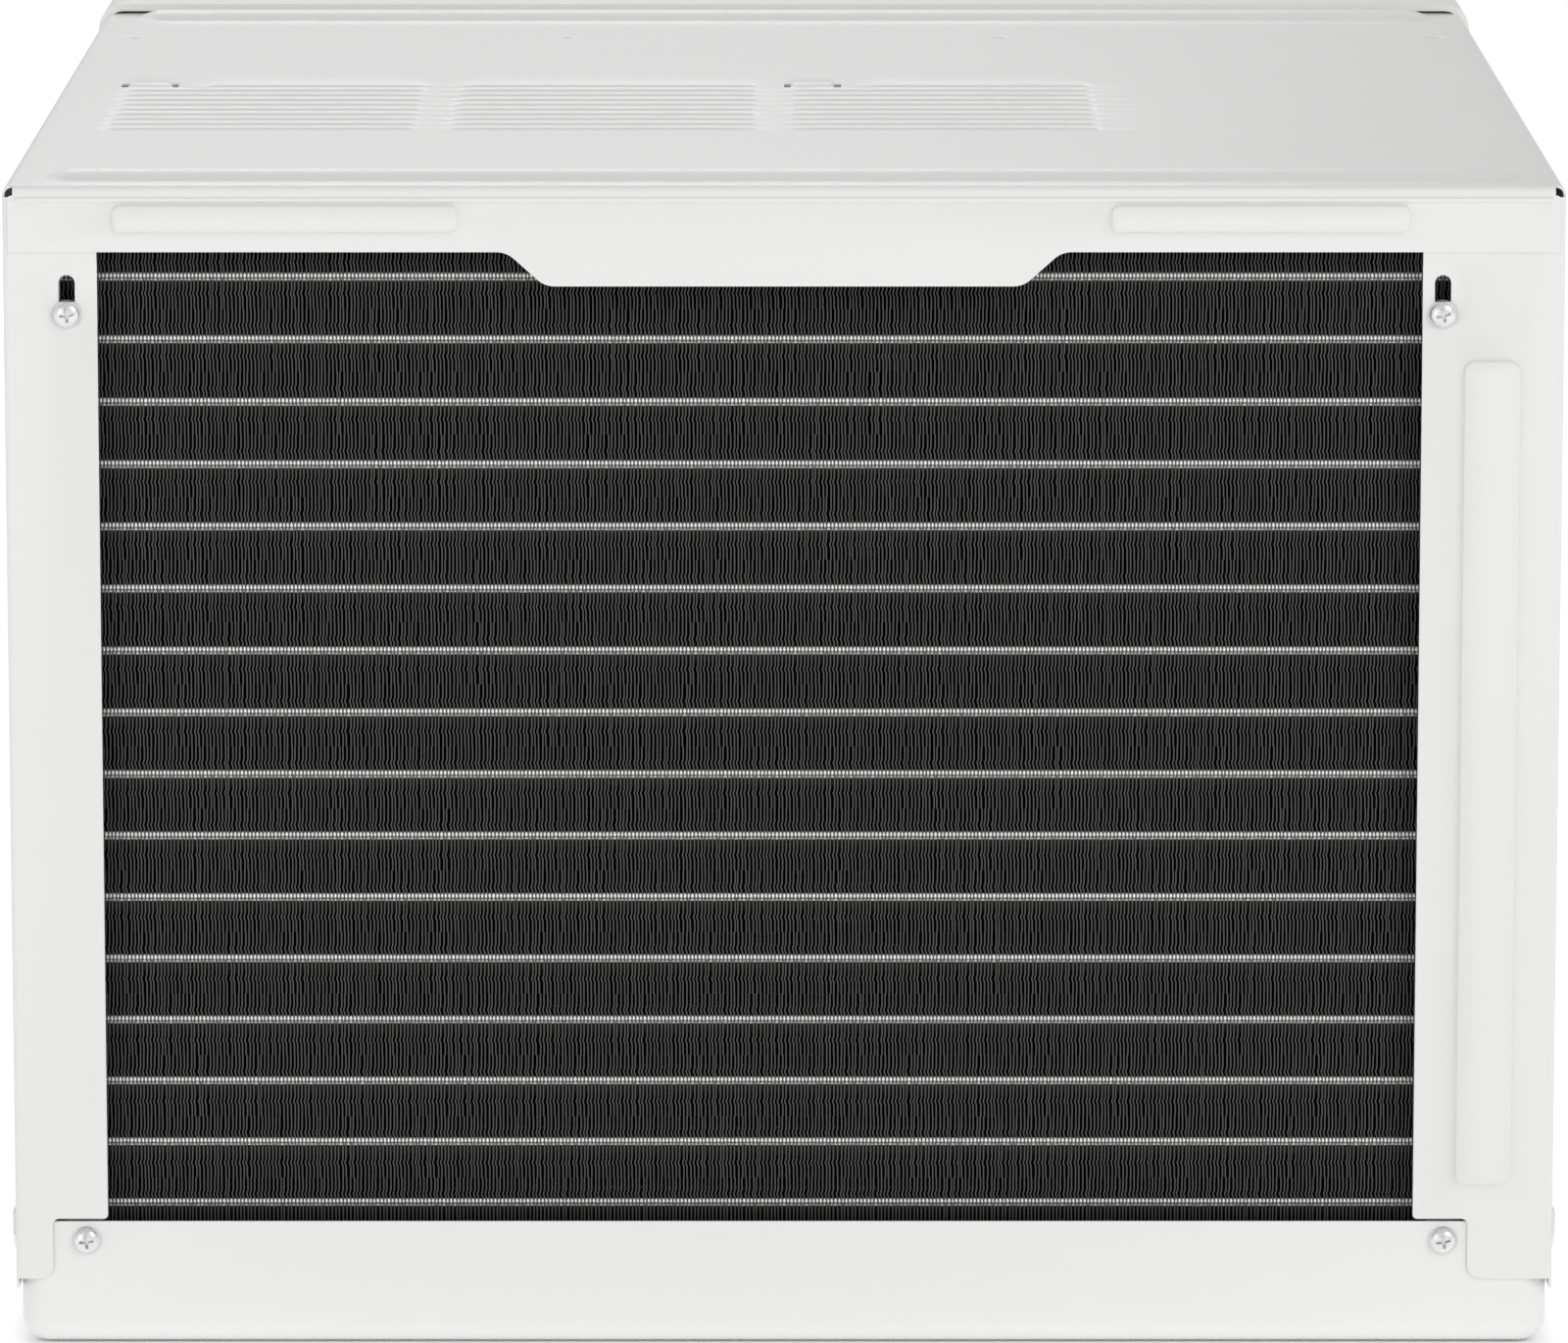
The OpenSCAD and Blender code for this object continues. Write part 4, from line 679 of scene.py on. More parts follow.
def sideRise(y, z):  # a hood over each side slot, and a dimple at each low rear corner
    hood = sideSlots["hood"]
    for a, b in sideSlots["spans"]:
        for low in [slot + sideSlots["gap"] for slot in slotZs]:
            if a < y < b and low - 0.01 <= z < low + hood:
                end = min(1.0, (y - a) / 5.0, (b - y) / 5.0)
                return sideSlots["lift"] * end * (1 - ((z - low) / hood) ** 1.6)
    d = hypot((y - (rearY - 21)) / 4.2, (z - 39) / 4.2)
    return 1.8 * (1 - d * d) if d < 1 else 0.0


def cabinetPoint(at, y):
    kind, s, v = at
    r = cabinet["foldRadius"]
    if kind == "top":
        return v, y, topZ + topRise(v, y)
    if kind == "fold":
        a = radians(v)
        return s * (halfW - r + r * cos(a)), y, topZ - r + r * sin(a)
    return s * (halfW + sideRise(y, v)), y, v


def cabinetKeep(u0, u1, y0, y1):
    if u0[0] == u1[0] == "top":
        return not topOpen(u0[2], u1[2], y0, y1)
    if u0[0] == u1[0] == "side":
        z, y = (u0[2] + u1[2]) / 2, (y0 + y1) / 2
        return not any(a < y < b and low < z < low + sideSlots["gap"]
            for a, b in sideSlots["spans"] for low in slotZs)
    return True


wrap = Shape()
wrap.grid(cabinetPoint, across, ys, cabinetKeep)
for hx in holeXs:  # a rolled pilot hole in each square gap
    edge = rounded([(hx - 4, railY - 4), (hx + 4, railY - 4), (hx + 4, railY + 4), (hx - 4, railY + 4)], 0)
    square = [tuple(Vector(edge[i]).lerp(Vector(edge[(i + 1) % 4]), j / 5)) for i in range(4)
        for j in range(5)]
    ringAt = lambda r, z: [(hx + r * cos(a), railY + r * sin(a), z)
        for a in (atan2(q[1] - railY, q[0] - hx) for q in square)]
    wrap.rings([[(*q, topZ) for q in square], ringAt(3.0, topZ - 0.05), ringAt(2.3, topZ - 0.35),
        ringAt(cabinet["holeRadius"], topZ - 0.9)], cap=False)
fold = cabinet["rearFold"]
bendXs = sorted({x for x in xs if abs(x) <= halfW - 3.4} | {3.4 - halfW, halfW - 3.4})


def topBend(x, a):  # the top sheet turned down at the rear, then a short straight lip
    if a > 90:
        return x, rearY, topZ - fold - 0.5
    return x, rearY - fold + fold * sin(radians(a)), topZ - fold + fold * cos(radians(a))


def sideBend(s, z, a):  # the side sheet turned in at the rear
    if a <= 0:
        return s * halfW, rearY - 2.5 + a, z
    turn = radians(a)
    return s * (halfW - side + side * cos(turn)), flangeY - side + side * sin(turn), z


def outward(c):
    return Vector((c.x, 0, max(0.0, c.z - 200))) if abs(c.x) > 240 or c.z > 370 else Vector((0, 1, 0))


wrap.grid(topBend, bendXs, [0, 15, 30, 45, 60, 75, 90, 91])
side = cabinet["sideFold"]
for s in (-1, 1):
    wrap.grid(lambda z, a: sideBend(s, z, a), [21.9, 41.5, 120, 240, 330, topZ - 3.6],
        [0, 1e-9, 22, 45, 68, 90])
wrapper = piece(wrap, "cabinetWrapper", shellPaint, facing=outward,
    solid=cabinet["sheet"], smooth=32)


def padRings(x0, z0, x1, z1, r, rise, width=1.1):
    rings = []
    for part, lift in ((0, 0), (0.25, 0.12), (0.5, 0.5), (0.75, 0.88), (1, 1)):
        g = width * part
        pts = roundRect(x0 + g, z0 + g, x1 - g, z1 - g, max(r - g, 0.6), 7)
        rings.append([(x, z, rise * lift) for x, z in pts])
    return rings


def flangePlate(outline, holes, pads, y):
    made = Shape()
    place = lambda x, z: (x, y, z)
    made.flat(outline, list(holes) + [[(p[0], p[1]) for p in rings[0]] for rings in pads], place)
    for rings in pads:
        made.rings([[(p[0], y + p[2], p[1]) for p in ring] for ring in rings], cap=False)
        lift = rings[-1][0][2]
        made.flat([(p[0], p[1]) for p in rings[-1]], [], lambda x, z: (x, y + lift, z))
    return made


topEnd = halfW - 1.8
winTop = topZ - 20.8
tab = [(-topEnd, winTop), (-87, winTop), (-75, winTop - 10.8), (75, winTop - 10.8), (87, winTop),
    (topEnd, winTop), (topEnd, topZ - fold - 0.5), (-topEnd, topZ - fold - 0.5)]
tabLine = rounded(tab, [0.6, 8, 8, 8, 8, 0.6, 1.2, 1.2], 7)
topPads = [padRings(101.7, topZ - 14.9, 210.9, topZ - 5.5, 3, 2.0, 0.9),
    padRings(-196.5, topZ - 14.9, -102, topZ - 5.5, 3, 2.0, 0.9),
    padRings(-241, topZ - 5.1, 241, topZ - 3.5, 0.6, 0.7, 0.3)]
plusY = lambda c: Vector((0, 1, 0))
piece(flangePlate(tabLine, [], topPads, rearY), "topFlange", shellPaint,
    facing=plusY, solid=cabinet["sheet"], bevel=0.22, bevelAngle=70)


def sideFlange(s, window, footX, padEnd, screwX, pads):  # s is 1 on the +X side
    shape = Shape()
    outX = halfW - side
    zPad = (328.3, 349.5)
    mirrorX = lambda pts: [(s * x, z) for x, z in pts]
    low, high = zPad
    line = rounded([(outX, 21.9), (footX, 21.9), (footX, 41.5), (window, 41.5), (window, low),
        (padEnd, low), (padEnd, high), (window, high), (window, topZ - 3.6), (outX, topZ - 3.6)],
        [0, 4.5, 2, 1.4, 0, 7, 7, 0, 0, 0], 7)
    inner = rounded([(window, low + 1), (padEnd - 1, low + 1), (padEnd - 1, high - 1), (window, high - 1)],
        [0, 6, 6, 0], 7)
    outer = rounded([(window, low), (padEnd, low), (padEnd, high), (window, high)], [0, 7, 7, 0], 7)
    slot = []
    for slotZ, start in ((342.25, 0), (332.4, pi)):
        for a in (start + pi * i / 10 for i in range(11)):
            slot.append((screwX + 2.55 * cos(a), slotZ + 2.55 * sin(a)))
    for rings in pads:
        shape.rings([[(s * p[0], flangeY + p[2], p[1]) for p in ring] for ring in rings], cap=False)
        lift = rings[-1][0][2]
        shape.flat(mirrorX([(p[0], p[1]) for p in rings[-1]]), [], lambda x, z: (x, flangeY + lift, z))
    gaps = [mirrorX([(p[0], p[1]) for p in rings[0]]) for rings in pads]
    shape.flat(mirrorX(line), gaps, lambda x, z: (x, flangeY, z))
    shape.flat(mirrorX(inner), [mirrorX(slot)], lambda x, z: (x, flangeY - 0.7, z))
    ends = [(mirrorX(outer)[i], mirrorX(inner)[i]) for i in range(len(outer))]
    for (a, b), (c, d) in zip(ends, ends[1:]):
        shape.add([(p[0], flangeY - drop, p[1]) for p, drop in ((a, 0), (b, 0.7), (d, 0.7), (c, 0))],
            [(0, 1, 2, 3)])
    name = "sideFlangeLeft" if s > 0 else "sideFlangeRight"
    return piece(shape, name, shellPaint, facing=plusY, solid=cabinet["sheet"],
        bevel=0.22, bevelAngle=70)


sideFlange(1, 215.5, 233.1, 232.2, 225.0, [])
sideFlange(-1, 200.4, 217.9, 215.1, 206.7, [padRings(213.1, 52.4, 231.8, topZ - 54.8, 4, 2.0, 0.9)])
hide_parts("outer_cabinet")
print("cabinet made")

# base pan: a drawn tray with round corners, ribs in its floor and a drain hole
tray = {"sheet": 1.0, "bottomRadius": 8.0, "cornerRadius": 9.0, "rib": 1.6}


def trayLoop(z, inset):
    r = max(tray["cornerRadius"] - inset, 2.5)
    pts = roundRect(panLow.x + inset, panLow.y + inset, panHigh.x - inset, panHigh.y - inset, r, 9)
    return [(x, y, z) for x, y in pts]


pan = Shape()
r = tray["bottomRadius"]
turnsUp = [radians(a) for a in steps(0, 90, 8)]
levels = [(r * (1 - cos(a)), r * (1 - sin(a))) for a in turnsUp] + [(20, 0), (39.6, 0)]
loops = [trayLoop(z, inset) for z, inset in levels + [(panHigh.z, 0.15)]]
pan.rings(loops, cap=False)
ribs = [(-150, -190, 60, -172), (-150, 150, 60, 168), (90, -190, 108, 200), (-206, -190, -188, -20)]
drainX, drainY = 150, 240
drainLoop = around(6.6, 24, lambda a, b: (drainX + a, drainY + b))
ribRings = [padRings(*rib, 8, tray["rib"], 2.4) for rib in ribs]
ribLines = [[(p[0], p[1]) for p in rings[0]] for rings in ribRings]
pan.flat([(p[0], p[1]) for p in loops[0]], [drainLoop] + ribLines, lambda x, y: (x, y, 0))
for rings in ribRings:
    pan.rings([[(p[0], p[1], p[2]) for p in ring] for ring in rings], cap=False)
    pan.flat([(p[0], p[1]) for p in rings[-1]], [], lambda x, y: (x, y, tray["rib"]))


def panOut(c):
    return Vector((c.x if abs(c.x) > 238 else 0, c.y if abs(c.y) > 210 else 0, -50 if c.z < 3 else 0))


piece(pan, "basePan", panPaint, stands=["base_pan"], facing=panOut, solid=tray["sheet"],
    smooth=40)
print("pan made")

# screws: domed pan heads with a cross recess, placed at their holes
screw = {"head": 4.6, "rise": 3.2, "armWidth": 1.3, "armReach": 2.7, "recess": 2.0}


def makeScrew(name, rise):
    dome = Shape()
    r = screw["head"]
    profile = [(0, rise), (r * 0.28, rise * 0.985), (r * 0.5, rise * 0.93), (r * 0.68, rise * 0.82),
        (r * 0.83, rise * 0.64), (r * 0.94, rise * 0.4), (r, rise * 0.14), (r, 0.0), (2.4, 0.0),
        (2.4, -5.2), (1.6, -6.0), (0, -6.4)]
    dome.lathe(profile, lambda x, y, z: (x, y, z), steps=40)
    head = piece(dome, name, screwZinc)
    cut = Shape()
    w, a = screw["armWidth"] / 2, screw["armReach"]
    cross = [(w, w), (a, w * 0.7), (a, -w * 0.7), (w, -w), (w * 0.7, -a), (-w * 0.7, -a),
        (-w, -w), (-a, -w * 0.7), (-a, w * 0.7), (-w, w), (-w * 0.7, a), (w * 0.7, a)]
    low = [(x * 0.55, y * 0.55, rise - screw["recess"]) for x, y in cross]
    cut.rings([low, [(x, y, rise + 0.6) for x, y in cross]])
    carve(head, piece(cut, name + "Tool", screwZinc), 35)
    return head


panScrew, flatScrew = makeScrew("panScrew", screw["rise"]), makeScrew("flatScrew", 2.2)


def placeScrews(name, pattern, spots, ways, stands, size=1.0, body="chassis", turn=6.28):
    made = Shape()
    made.add(spots, [])
    obj = grown(made, name, screwTree, {"Screw": pattern, "Size": size, "Turn": turn, "Seed": 5},
        screwZinc, ways=ways, smooth=35)
    return settle(obj, body, stands)


upperXs, lowerXs = (225.0, -206.8), (222.4, -210.2)
rearSpots = [(x, flangeY - 0.6, 332.4) for x in upperXs] + [(x, panHigh.y, 34.4) for x in lowerXs]
sideSpots = [(s * halfW, y, 30.5) for s in (1, -1) for y in (rearY - 22.5, frontY + 30)]
placeScrews("rearScrews", panScrew, rearSpots, [(0, 1, 0)] * 4, ["rear_screws"], turn=0.25)
placeScrews("sideScrews", flatScrew, sideSpots, [(s, 0, 0) for s in (1, 1, -1, -1)], ["side_screws"])
for pattern in (panScrew, flatScrew):
    bpy.data.objects.remove(pattern)

# condenser: thin rippled fins on rows of tubes, both made by rule
finLow, finHigh = corners("condenser_fins")
# the last four keys size, place and space the thin white rods along the tube rows, painted highlights on the
# tubes
coil = {"pitch": 1.17, "edge": 0.42, "faceBack": 2.6, "ripple": 0.42, "tubePitch": 20.0,
    "firstTube": 42.3, "rows": 16, "layerPitch": 17.5, "seam": 0.95, "highlightForward": 7.25, "highlightUp": 3.0,
    "highlightPitch": 19.887}
finCount = int((finHigh.x - finLow.x) / coil["pitch"])


def finCell(backY, frontY, height, bends, edge):  # a thin rippled wedge, one tube pitch high
    levels = [(0.0, 0.0)] + bends + [(height, 0.0)]
    return Shape().rings([[(s - edge / 2, frontY, z), (s + edge / 2, frontY, z), (0, backY, z)]
        for z, s in levels])


ripple = coil["ripple"]
bends = [(3.6, 0.0), (4.9, ripple), (6.2, 0.0), (13.4, 0.0), (14.7, ripple), (16.0, 0.0)]
faceY = finHigh.y - coil["faceBack"]
halves = []
for part, (first, count) in enumerate(((0, finCount // 2), (finCount // 2, finCount - finCount // 2))):
    cell = finCell(finLow.y, faceY, coil["tubePitch"], bends, coil["edge"])
    startX = finLow.x + 0.6 + first * coil["pitch"]
    halves.append(rows(cell, f"condenserFins{part + 1}", finStock, count, coil["rows"], coil["pitch"],
        coil["tubePitch"], (startX, 0, coil["firstTube"] - 9.3), shake=0.00003, lean=0.0006, seed=4 + part))
settle(halves[0], "chassis", ["condenser_fins"])
settle(halves[1], "chassis")


def serpentine(name, layersY, x0, x1, z0, rows, pitch, openX, radius, finish, sides=14):
    shape, edges = Shape(), []
    for y in layersY:
        pts = [(openX, y, z0)]
        for k in range(rows - 1):
            bendX = x1 + pitch / 2 if k % 2 == 0 else x0 - pitch / 2
            pts += [(bendX, y, z0 + k * pitch), (bendX, y, z0 + (k + 1) * pitch)]
        pts.append((openX, y, z0 + (rows - 1) * pitch))
        base = len(shape.verts)
        shape.add(pts, [])
        edges += [(base + i, base + i + 1) for i in range(len(pts) - 1)]
    return grown(shape, name, pipeTree, {"Radius": radius * mm, "Bend": pitch / 2 * mm, "Sides": sides,
        "Bend steps": 8, "Seed": 1}, finish, edges=edges)


layers = [finHigh.y - 1.75 - coil["layerPitch"] * (j + 0.5) for j in range(3)]
tubes = serpentine("condenserTubes", layers, finLow.x, finHigh.x, coil["firstTube"], coil["rows"],
    coil["tubePitch"], -231.5, 4.6, darkTube)
settle(tubes, "chassis", ["condenser_tubes"])


def alongTubes(shape, name, count, x, y):  # the shape repeated on every tube of one layer
    start = (x, y, coil["firstTube"] + coil["highlightUp"])
    settle(rows(shape, name, brightTube, count, coil["rows"], coil["pitch"], coil["highlightPitch"], start,
        seed=2, smooth=80), "chassis")


def tubeBar(radius, drop):  # one plain bar as long as the coil
    return Shape().rings([around(radius, 10, lambda a, b: (x, a, b - drop)) for x in (finLow.x, finHigh.x)])


# white beads and bars along each tube row are painted highlights on the tubes; the thin bar just below the
# front row widens its highlight
highlightRadius = coil["seam"]
highlightYs = [y + coil["highlightForward"] for y in layers]
highlightBead = Shape().rings([around(highlightRadius * f, 5, lambda a, b: (x, a, b))
    for x, f in ((0.0, 0.5), (0.585, 1.0), (1.17, 0.5))])
alongTubes(highlightBead, "tubeCollars1", finCount, finLow.x + 0.6, highlightYs[0])
alongTubes(tubeBar(highlightRadius, 0.0), "tubeCollars2", 1, 0, highlightYs[1])
alongTubes(tubeBar(highlightRadius, 0.0), "tubeCollars3", 1, 0, highlightYs[2])
alongTubes(tubeBar(0.4, 1.4), "tubeGlints", 1, 0, highlightYs[0] - 0.4)
nub = Shape()
for s in (1, -1):
    nub.box((min(s * halfW, s * (halfW + 1.2)), 261, 35), (max(s * halfW, s * (halfW + 1.2)), 268, 43))
piece(nub, "sideNubs", shellPaint, bevel=0.4)
print("condenser made")

# fan, shroud and motor on the common shaft
hub = Vector((0, 0, 172))
fanLow = corners("condenser_fan")[0]
shroudLow, shroudHigh = corners("fan_shroud")
ring = {"bore": 149.0, "mouth": 158.0, "round": 9.0, "plate": 16.0, "floor": 14.0}
fan = {"blades": 5, "tip": 146.0, "hub": 34.0, "blade": 1.6, "sweep": 62.0, "pitchRoot": 33.0,
    "pitchTip": 21.0, "camber": 7.0}


def along(y0):  # places a turned shape on the shaft, starting at y0
    return lambda x, z, d: (hub.x + x, y0 + d, hub.z + z)


def fanBlade():
    blade = Shape()
    rs, cs = steps(fan["hub"] - 4, fan["tip"], 9), steps(-0.5, 0.5, 8)

    def at(r, c):
        share = (r - fan["hub"]) / (fan["tip"] - fan["hub"])
        wide = sin(pi * min(1, max(0, share * 0.9 + 0.1)))
        sweep = radians(fan["sweep"] * (0.62 + 0.38 * wide))
        lean = radians(fan["pitchRoot"] + (fan["pitchTip"] - fan["pitchRoot"]) * share)
        a = sweep * c + radians(9) * share
        y = r * sweep * c * tan(lean) * 0.85 + fan["camber"] * (0.25 - c * c) * 2
        y = max(-19.5, min(20.5, y)) + 20
        return r * cos(a), y, r * sin(a)

    blade.grid(at, rs, cs)
    return blade


blade = piece(fanBlade(), "fanBladeShape", blackPlastic, facing=lambda c: Vector((0, 1, 0)),
    solid=fan["blade"], smooth=60)
bladeShape = Shape()
bladeShape.add([v.co / mm for v in blade.data.vertices], [tuple(p.vertices) for p in blade.data.polygons])
bpy.data.objects.remove(blade)
blades = grown(bladeShape, "fanBlades", ringTree, {"Count": fan["blades"],
    "Hub": (0, fanLow.y * mm, hub.z * mm), "Seed": 1}, blackPlastic, smooth=60)
core = Shape()
core.lathe([(4.2, 0), (12, 0), (12, 3), (26, 5), (33, 10), (34, 18), (34, 40), (31.5, 40), (31, 14),
    (24, 9), (12, 8), (12, 40), (4.2, 40), (4.2, 0)], along(fanLow.y), steps=64)
core.lathe([(144.4, 32), (151.8, 32), (152, 32.4), (152, 41.6), (151.4, 42), (144.4, 42), (144, 41.5),
    (144, 32.5), (144.4, 32)], along(fanLow.y), steps=128)
for k in range(8):
    a = pi * k / 4
    c, s = cos(a), sin(a)
    core.add([(hub.x + x * c - w * s, fanLow.y + d, hub.z + x * s + w * c)
        for x in (11.5, 31.6) for w in (-0.9, 0.9) for d in (9, 38)], boxFaces)
piece(core, "fanHub", blackPlastic, body="rotor", smooth=35)
settle(blades, "rotor")
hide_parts("condenser_fan")

shroud = Shape()
circle = around(ring["mouth"], 96, lambda a, b: (hub.x + a, max(hub.z + b, ring["floor"])))
frameLine = rounded([(shroudLow.x, shroudLow.z), (shroudHigh.x, shroudLow.z), (shroudHigh.x, shroudHigh.z),
    (shroudLow.x, shroudHigh.z)], 3, 4)
plateY = shroudLow.y + ring["plate"]
shroud.flat(frameLine, [circle], lambda x, z: (x, plateY + 0.8, z))
ringLoops = []
for a in steps(0, 90, 6):
    share = (ring["bore"] + ring["round"] * (1 - sin(radians(a)))) / ring["mouth"]
    y = plateY + 0.8 - ring["round"] * (1 - cos(radians(a)))
    ringLoops.append([(hub.x + (x - hub.x) * share, y, hub.z + (z - hub.z) * share) for x, z in circle])
ringLoops.append([(x, shroudLow.y, z) for x, _, z in ringLoops[-1]])
ringLoops = [[(x, y, max(z, shroudLow.z + 0.4)) for x, y, z in loop] for loop in ringLoops]
shroud.rings(ringLoops, cap=False)
skirtYs = (plateY + 0.8, plateY + 4, (plateY + shroudHigh.y) / 2, shroudHigh.y)
skirt = [[(x, y, z) for x, z in frameLine] for y in skirtYs]
shroud.rings(skirt, cap=False)
piece(shroud, "fanShroud", blackPlastic, stands=["fan_shroud"],
    facing=lambda c: Vector((0, -1, 0)), solid=1.5, smooth=40)

motor = {"front": 30.0, "ribs": 24, "studCircle": 47.0, "studAngles": (45, 135, 225, 315)}
can = Shape()
profile = [(4.1, -8), (19.2, -8), (20, -7.2), (20, 0.4), (23, 1.2), (44, 1.6), (52.5, 3.2), (55.4, 6),
    (56, 9.5), (56, 28.4), (57.2, 29.2), (58, 30.4), (58, 44.6), (57.2, 45.8), (56, 46.6), (56, 65.5),
    (55.4, 69), (52.5, 71.8), (44, 73.4), (23, 73.8), (20, 74.6), (20, 82.2), (19.2, 83), (4.1, 83),
    (4.1, -8)]
can.lathe(profile, along(motor["front"]), steps=72)
piece(can, "motorCan", motorPaint, stands=["fan_motor"], smooth=30)
rib = Shape().box((54.8, 12, -1.0), (57.2, 27, 1.0)).box((54.8, 48, -1.0), (57.2, 63, 1.0))
settle(grown(rib, "motorRibs", ringTree, {"Count": motor["ribs"],
    "Hub": (0, motor["front"] * mm, hub.z * mm), "Seed": 1}, motorPaint), "chassis")
stud = Shape()
for a in motor["studAngles"]:
    cx = motor["studCircle"] * cos(radians(a))
    cz = motor["studCircle"] * sin(radians(a))
    stud.lathe([(0, -10), (1.9, -10), (2.4, -9.5), (2.5, 3), (0, 3)],
        lambda x, z, d: (cx + x, motor["front"] + d, hub.z + cz + z), steps=14)
piece(stud, "motorStuds", screwZinc, smooth=35)
print("fan and motor made")

# room side: bezel, grille, filter, discharge louvres and controls
bezLow, bezHigh = corners("front_bezel")
bezel = {"corner": 9.0, "wall": 2.5, "round": 4.0}
mouth = (-222.0, 294.0, 108.0, 360.0)
inlet = (-223.5, 26.5, 223.5, 282.8)
controls = (124.0, 292.0, 236.0, 362.0)


def bezelRing(inset, y, r, n=6):
    low, high = (bezLow.x + inset, bezLow.z + inset), (bezHigh.x - inset, bezHigh.z - inset)
    return [(x, y, z) for x, z in roundRect(*low, *high, r, n)]


shell = Shape()
rise = bezel["round"]
outer = [bezelRing(0, bezHigh.y, bezel["corner"]), bezelRing(0, bezLow.y + rise + 0.01, bezel["corner"])]
for a in steps(15, 90, 6):
    s = radians(a)
    outer.append(bezelRing(rise * (1 - cos(s)), bezLow.y + rise * (1 - sin(s)),
        bezel["corner"] - rise * (1 - cos(s)) * 0.6))
shell.rings(outer, cap=False)
face = [(x, z) for x, y, z in outer[-1]]
holes = []
for x0, z0, x1, z1 in (mouth, inlet, controls):
    holes.append([(x, z) for x, z in roundRect(x0 - 1.2, z0 - 1.2, x1 + 1.2, z1 + 1.2, 3.2, 4)])
    lips = [[(x, bezLow.y + d, z) for x, z in roundRect(x0 - g, z0 - g, x1 + g, z1 + g, 2 + g, 4)]
        for g, d in ((1.2, 0), (0.35, 0.35), (0, 1.2), (0, 7))]
    shell.rings(lips, cap=False)
shell.flat(face, holes, lambda x, z: (x, bezLow.y, z))


def bezelFacing(c):  # outward from the shell, inward from each opening's lip
    for x0, z0, x1, z1 in (mouth, inlet, controls):
        if x0 - 1.3 < c.x < x1 + 1.3 and z0 - 1.3 < c.z < z1 + 1.3 and c.y > bezLow.y + 0.01:
            if c.y < bezLow.y + 1.2:
                return Vector(((x0 + x1) / 2 - c.x, -60, (z0 + z1) / 2 - c.z))
            sideways = max(x0 - c.x, 0) or min(x1 - c.x, 0) or (c.x - x0 < 2) - (x1 - c.x < 2)
            return Vector((sideways, 0, (c.z - z0 < 2) - (z1 - c.z < 2)))
    return Vector((c.x, -500 if c.y < bezLow.y + 3 else 0, c.z - 188))


bezelPiece = piece(shell, "frontBezel", whitePlastic, stands=["front_bezel"],
    facing=bezelFacing, solid=bezel["wall"], smooth=40)
slotLow, slotHigh = corners("filter_frame")
slotShape = Shape().box((242, slotLow.y - 0.6, slotLow.z - 0.8), (250, slotHigh.y + 0.6, slotHigh.z + 0.8))
carve(bezelPiece, piece(slotShape, "slotTool", whitePlastic), 40)

# intake grille: a moulded frame with slats and upright ribs, hinged at its top edge
gLow, gHigh = corners("intake_grille")
grille = {"frame": 9.0, "slatPitch": 6.6, "slat": 2.1, "depth": 5.0, "ribs": 9, "ribWidth": 2.0}
moulding = Shape()
ins = grille["frame"]
winds = [roundRect(gLow.x + ins, gLow.z + ins, gHigh.x - ins, gHigh.z - ins - 2, 3, 4)]
grilleLine = roundRect(gLow.x, gLow.z, gHigh.x, gHigh.z - 0.5, 3.5, 5)
moulding.slab(grilleLine, winds, lambda a, b, d: (a, d, b), gLow.y, gHigh.y)
innerX0, innerX1, innerZ0, innerZ1 = gLow.x + ins - 0.5, gHigh.x - ins + 0.5, gLow.z + ins, gHigh.z - ins - 2
for k in range(1, grille["ribs"] + 1):
    x = innerX0 + (innerX1 - innerX0) * k / (grille["ribs"] + 1)
    moulding.box((x - grille["ribWidth"] / 2, gLow.y + 1.6, innerZ0 - 0.5), (x + grille["ribWidth"] / 2,
        gHigh.y - 0.1, innerZ1 + 0.5))
piece(moulding, "grilleFrame", whitePlastic, body="grille", stands=["intake_grille"],
    bevel=0.5, bevelSteps=2, smooth=35)
slatCount = int((innerZ1 - innerZ0) / grille["slatPitch"])
slat = Shape()
t, d = grille["slat"], grille["depth"]
prof = [(0.3, 0.1), (0.75, -t * 0.35), (d - 0.2, t * 0.75), (d - 0.2, t * 1.45), (0.75, t * 0.55)]
slat.rings([[(x, gLow.y + y, z) for y, z in prof] for x in (innerX0, innerX1)])
settle(rows(slat, "grilleSlats", whitePlastic, 1, slatCount, 0, (innerZ1 - innerZ0) / slatCount,
    (0, 0, innerZ0 + 1.6), smooth=40), "grille")

# filter: frame with cross bars, and a woven net in its windows
fLow, fHigh = corners("filter_frame")
filterPart = {"edge": 7.0, "bar": 4.0, "netPitch": 3.0, "thread": 0.35}
sheet = Shape()
rim, bar = filterPart["edge"], filterPart["bar"]
cellX, cellZ = (fHigh.x - fLow.x - 2 * rim - 2 * bar) / 3, (fHigh.z - fLow.z - 2 * rim - bar) / 2
panes = [(fLow.x + rim + i * (cellX + bar), fLow.z + rim + j * (cellZ + bar)) for i in range(3)
    for j in range(2)]
windows = [roundRect(x, z, x + cellX, z + cellZ, 2.5, 4) for x, z in panes]
filterLine = roundRect(fLow.x, fLow.z, fHigh.x, fHigh.z, 2.5, 4)
sheet.slab(filterLine, windows, lambda a, b, d: (a, d, b), fLow.y + 0.5, fHigh.y - 0.5)
piece(sheet, "filterFrame", filterPlastic, body="filter", stands=["filter_frame"],
    bevel=0.6, smooth=35)
gap, h, mid = filterPart["netPitch"], filterPart["thread"], (fLow.y + fHigh.y) / 2


def netThreads(name, a, b, lift, across, up):  # one direction of the weave
    sideways = Vector((b[0] - a[0], 0, b[1] - a[1])).normalized().cross(Vector((0, 1, 0)))
    thread = Shape().rings([[tuple(Vector((p[0], mid + lift, p[1])) + sideways * (h * cos(q))
        + Vector((0, h * sin(q), 0))) for q in (0, 2.09, 4.19)] for p in (a, b)])
    return rows(thread, name, netNylon, across, up, gap, gap, (0, 0, 0))


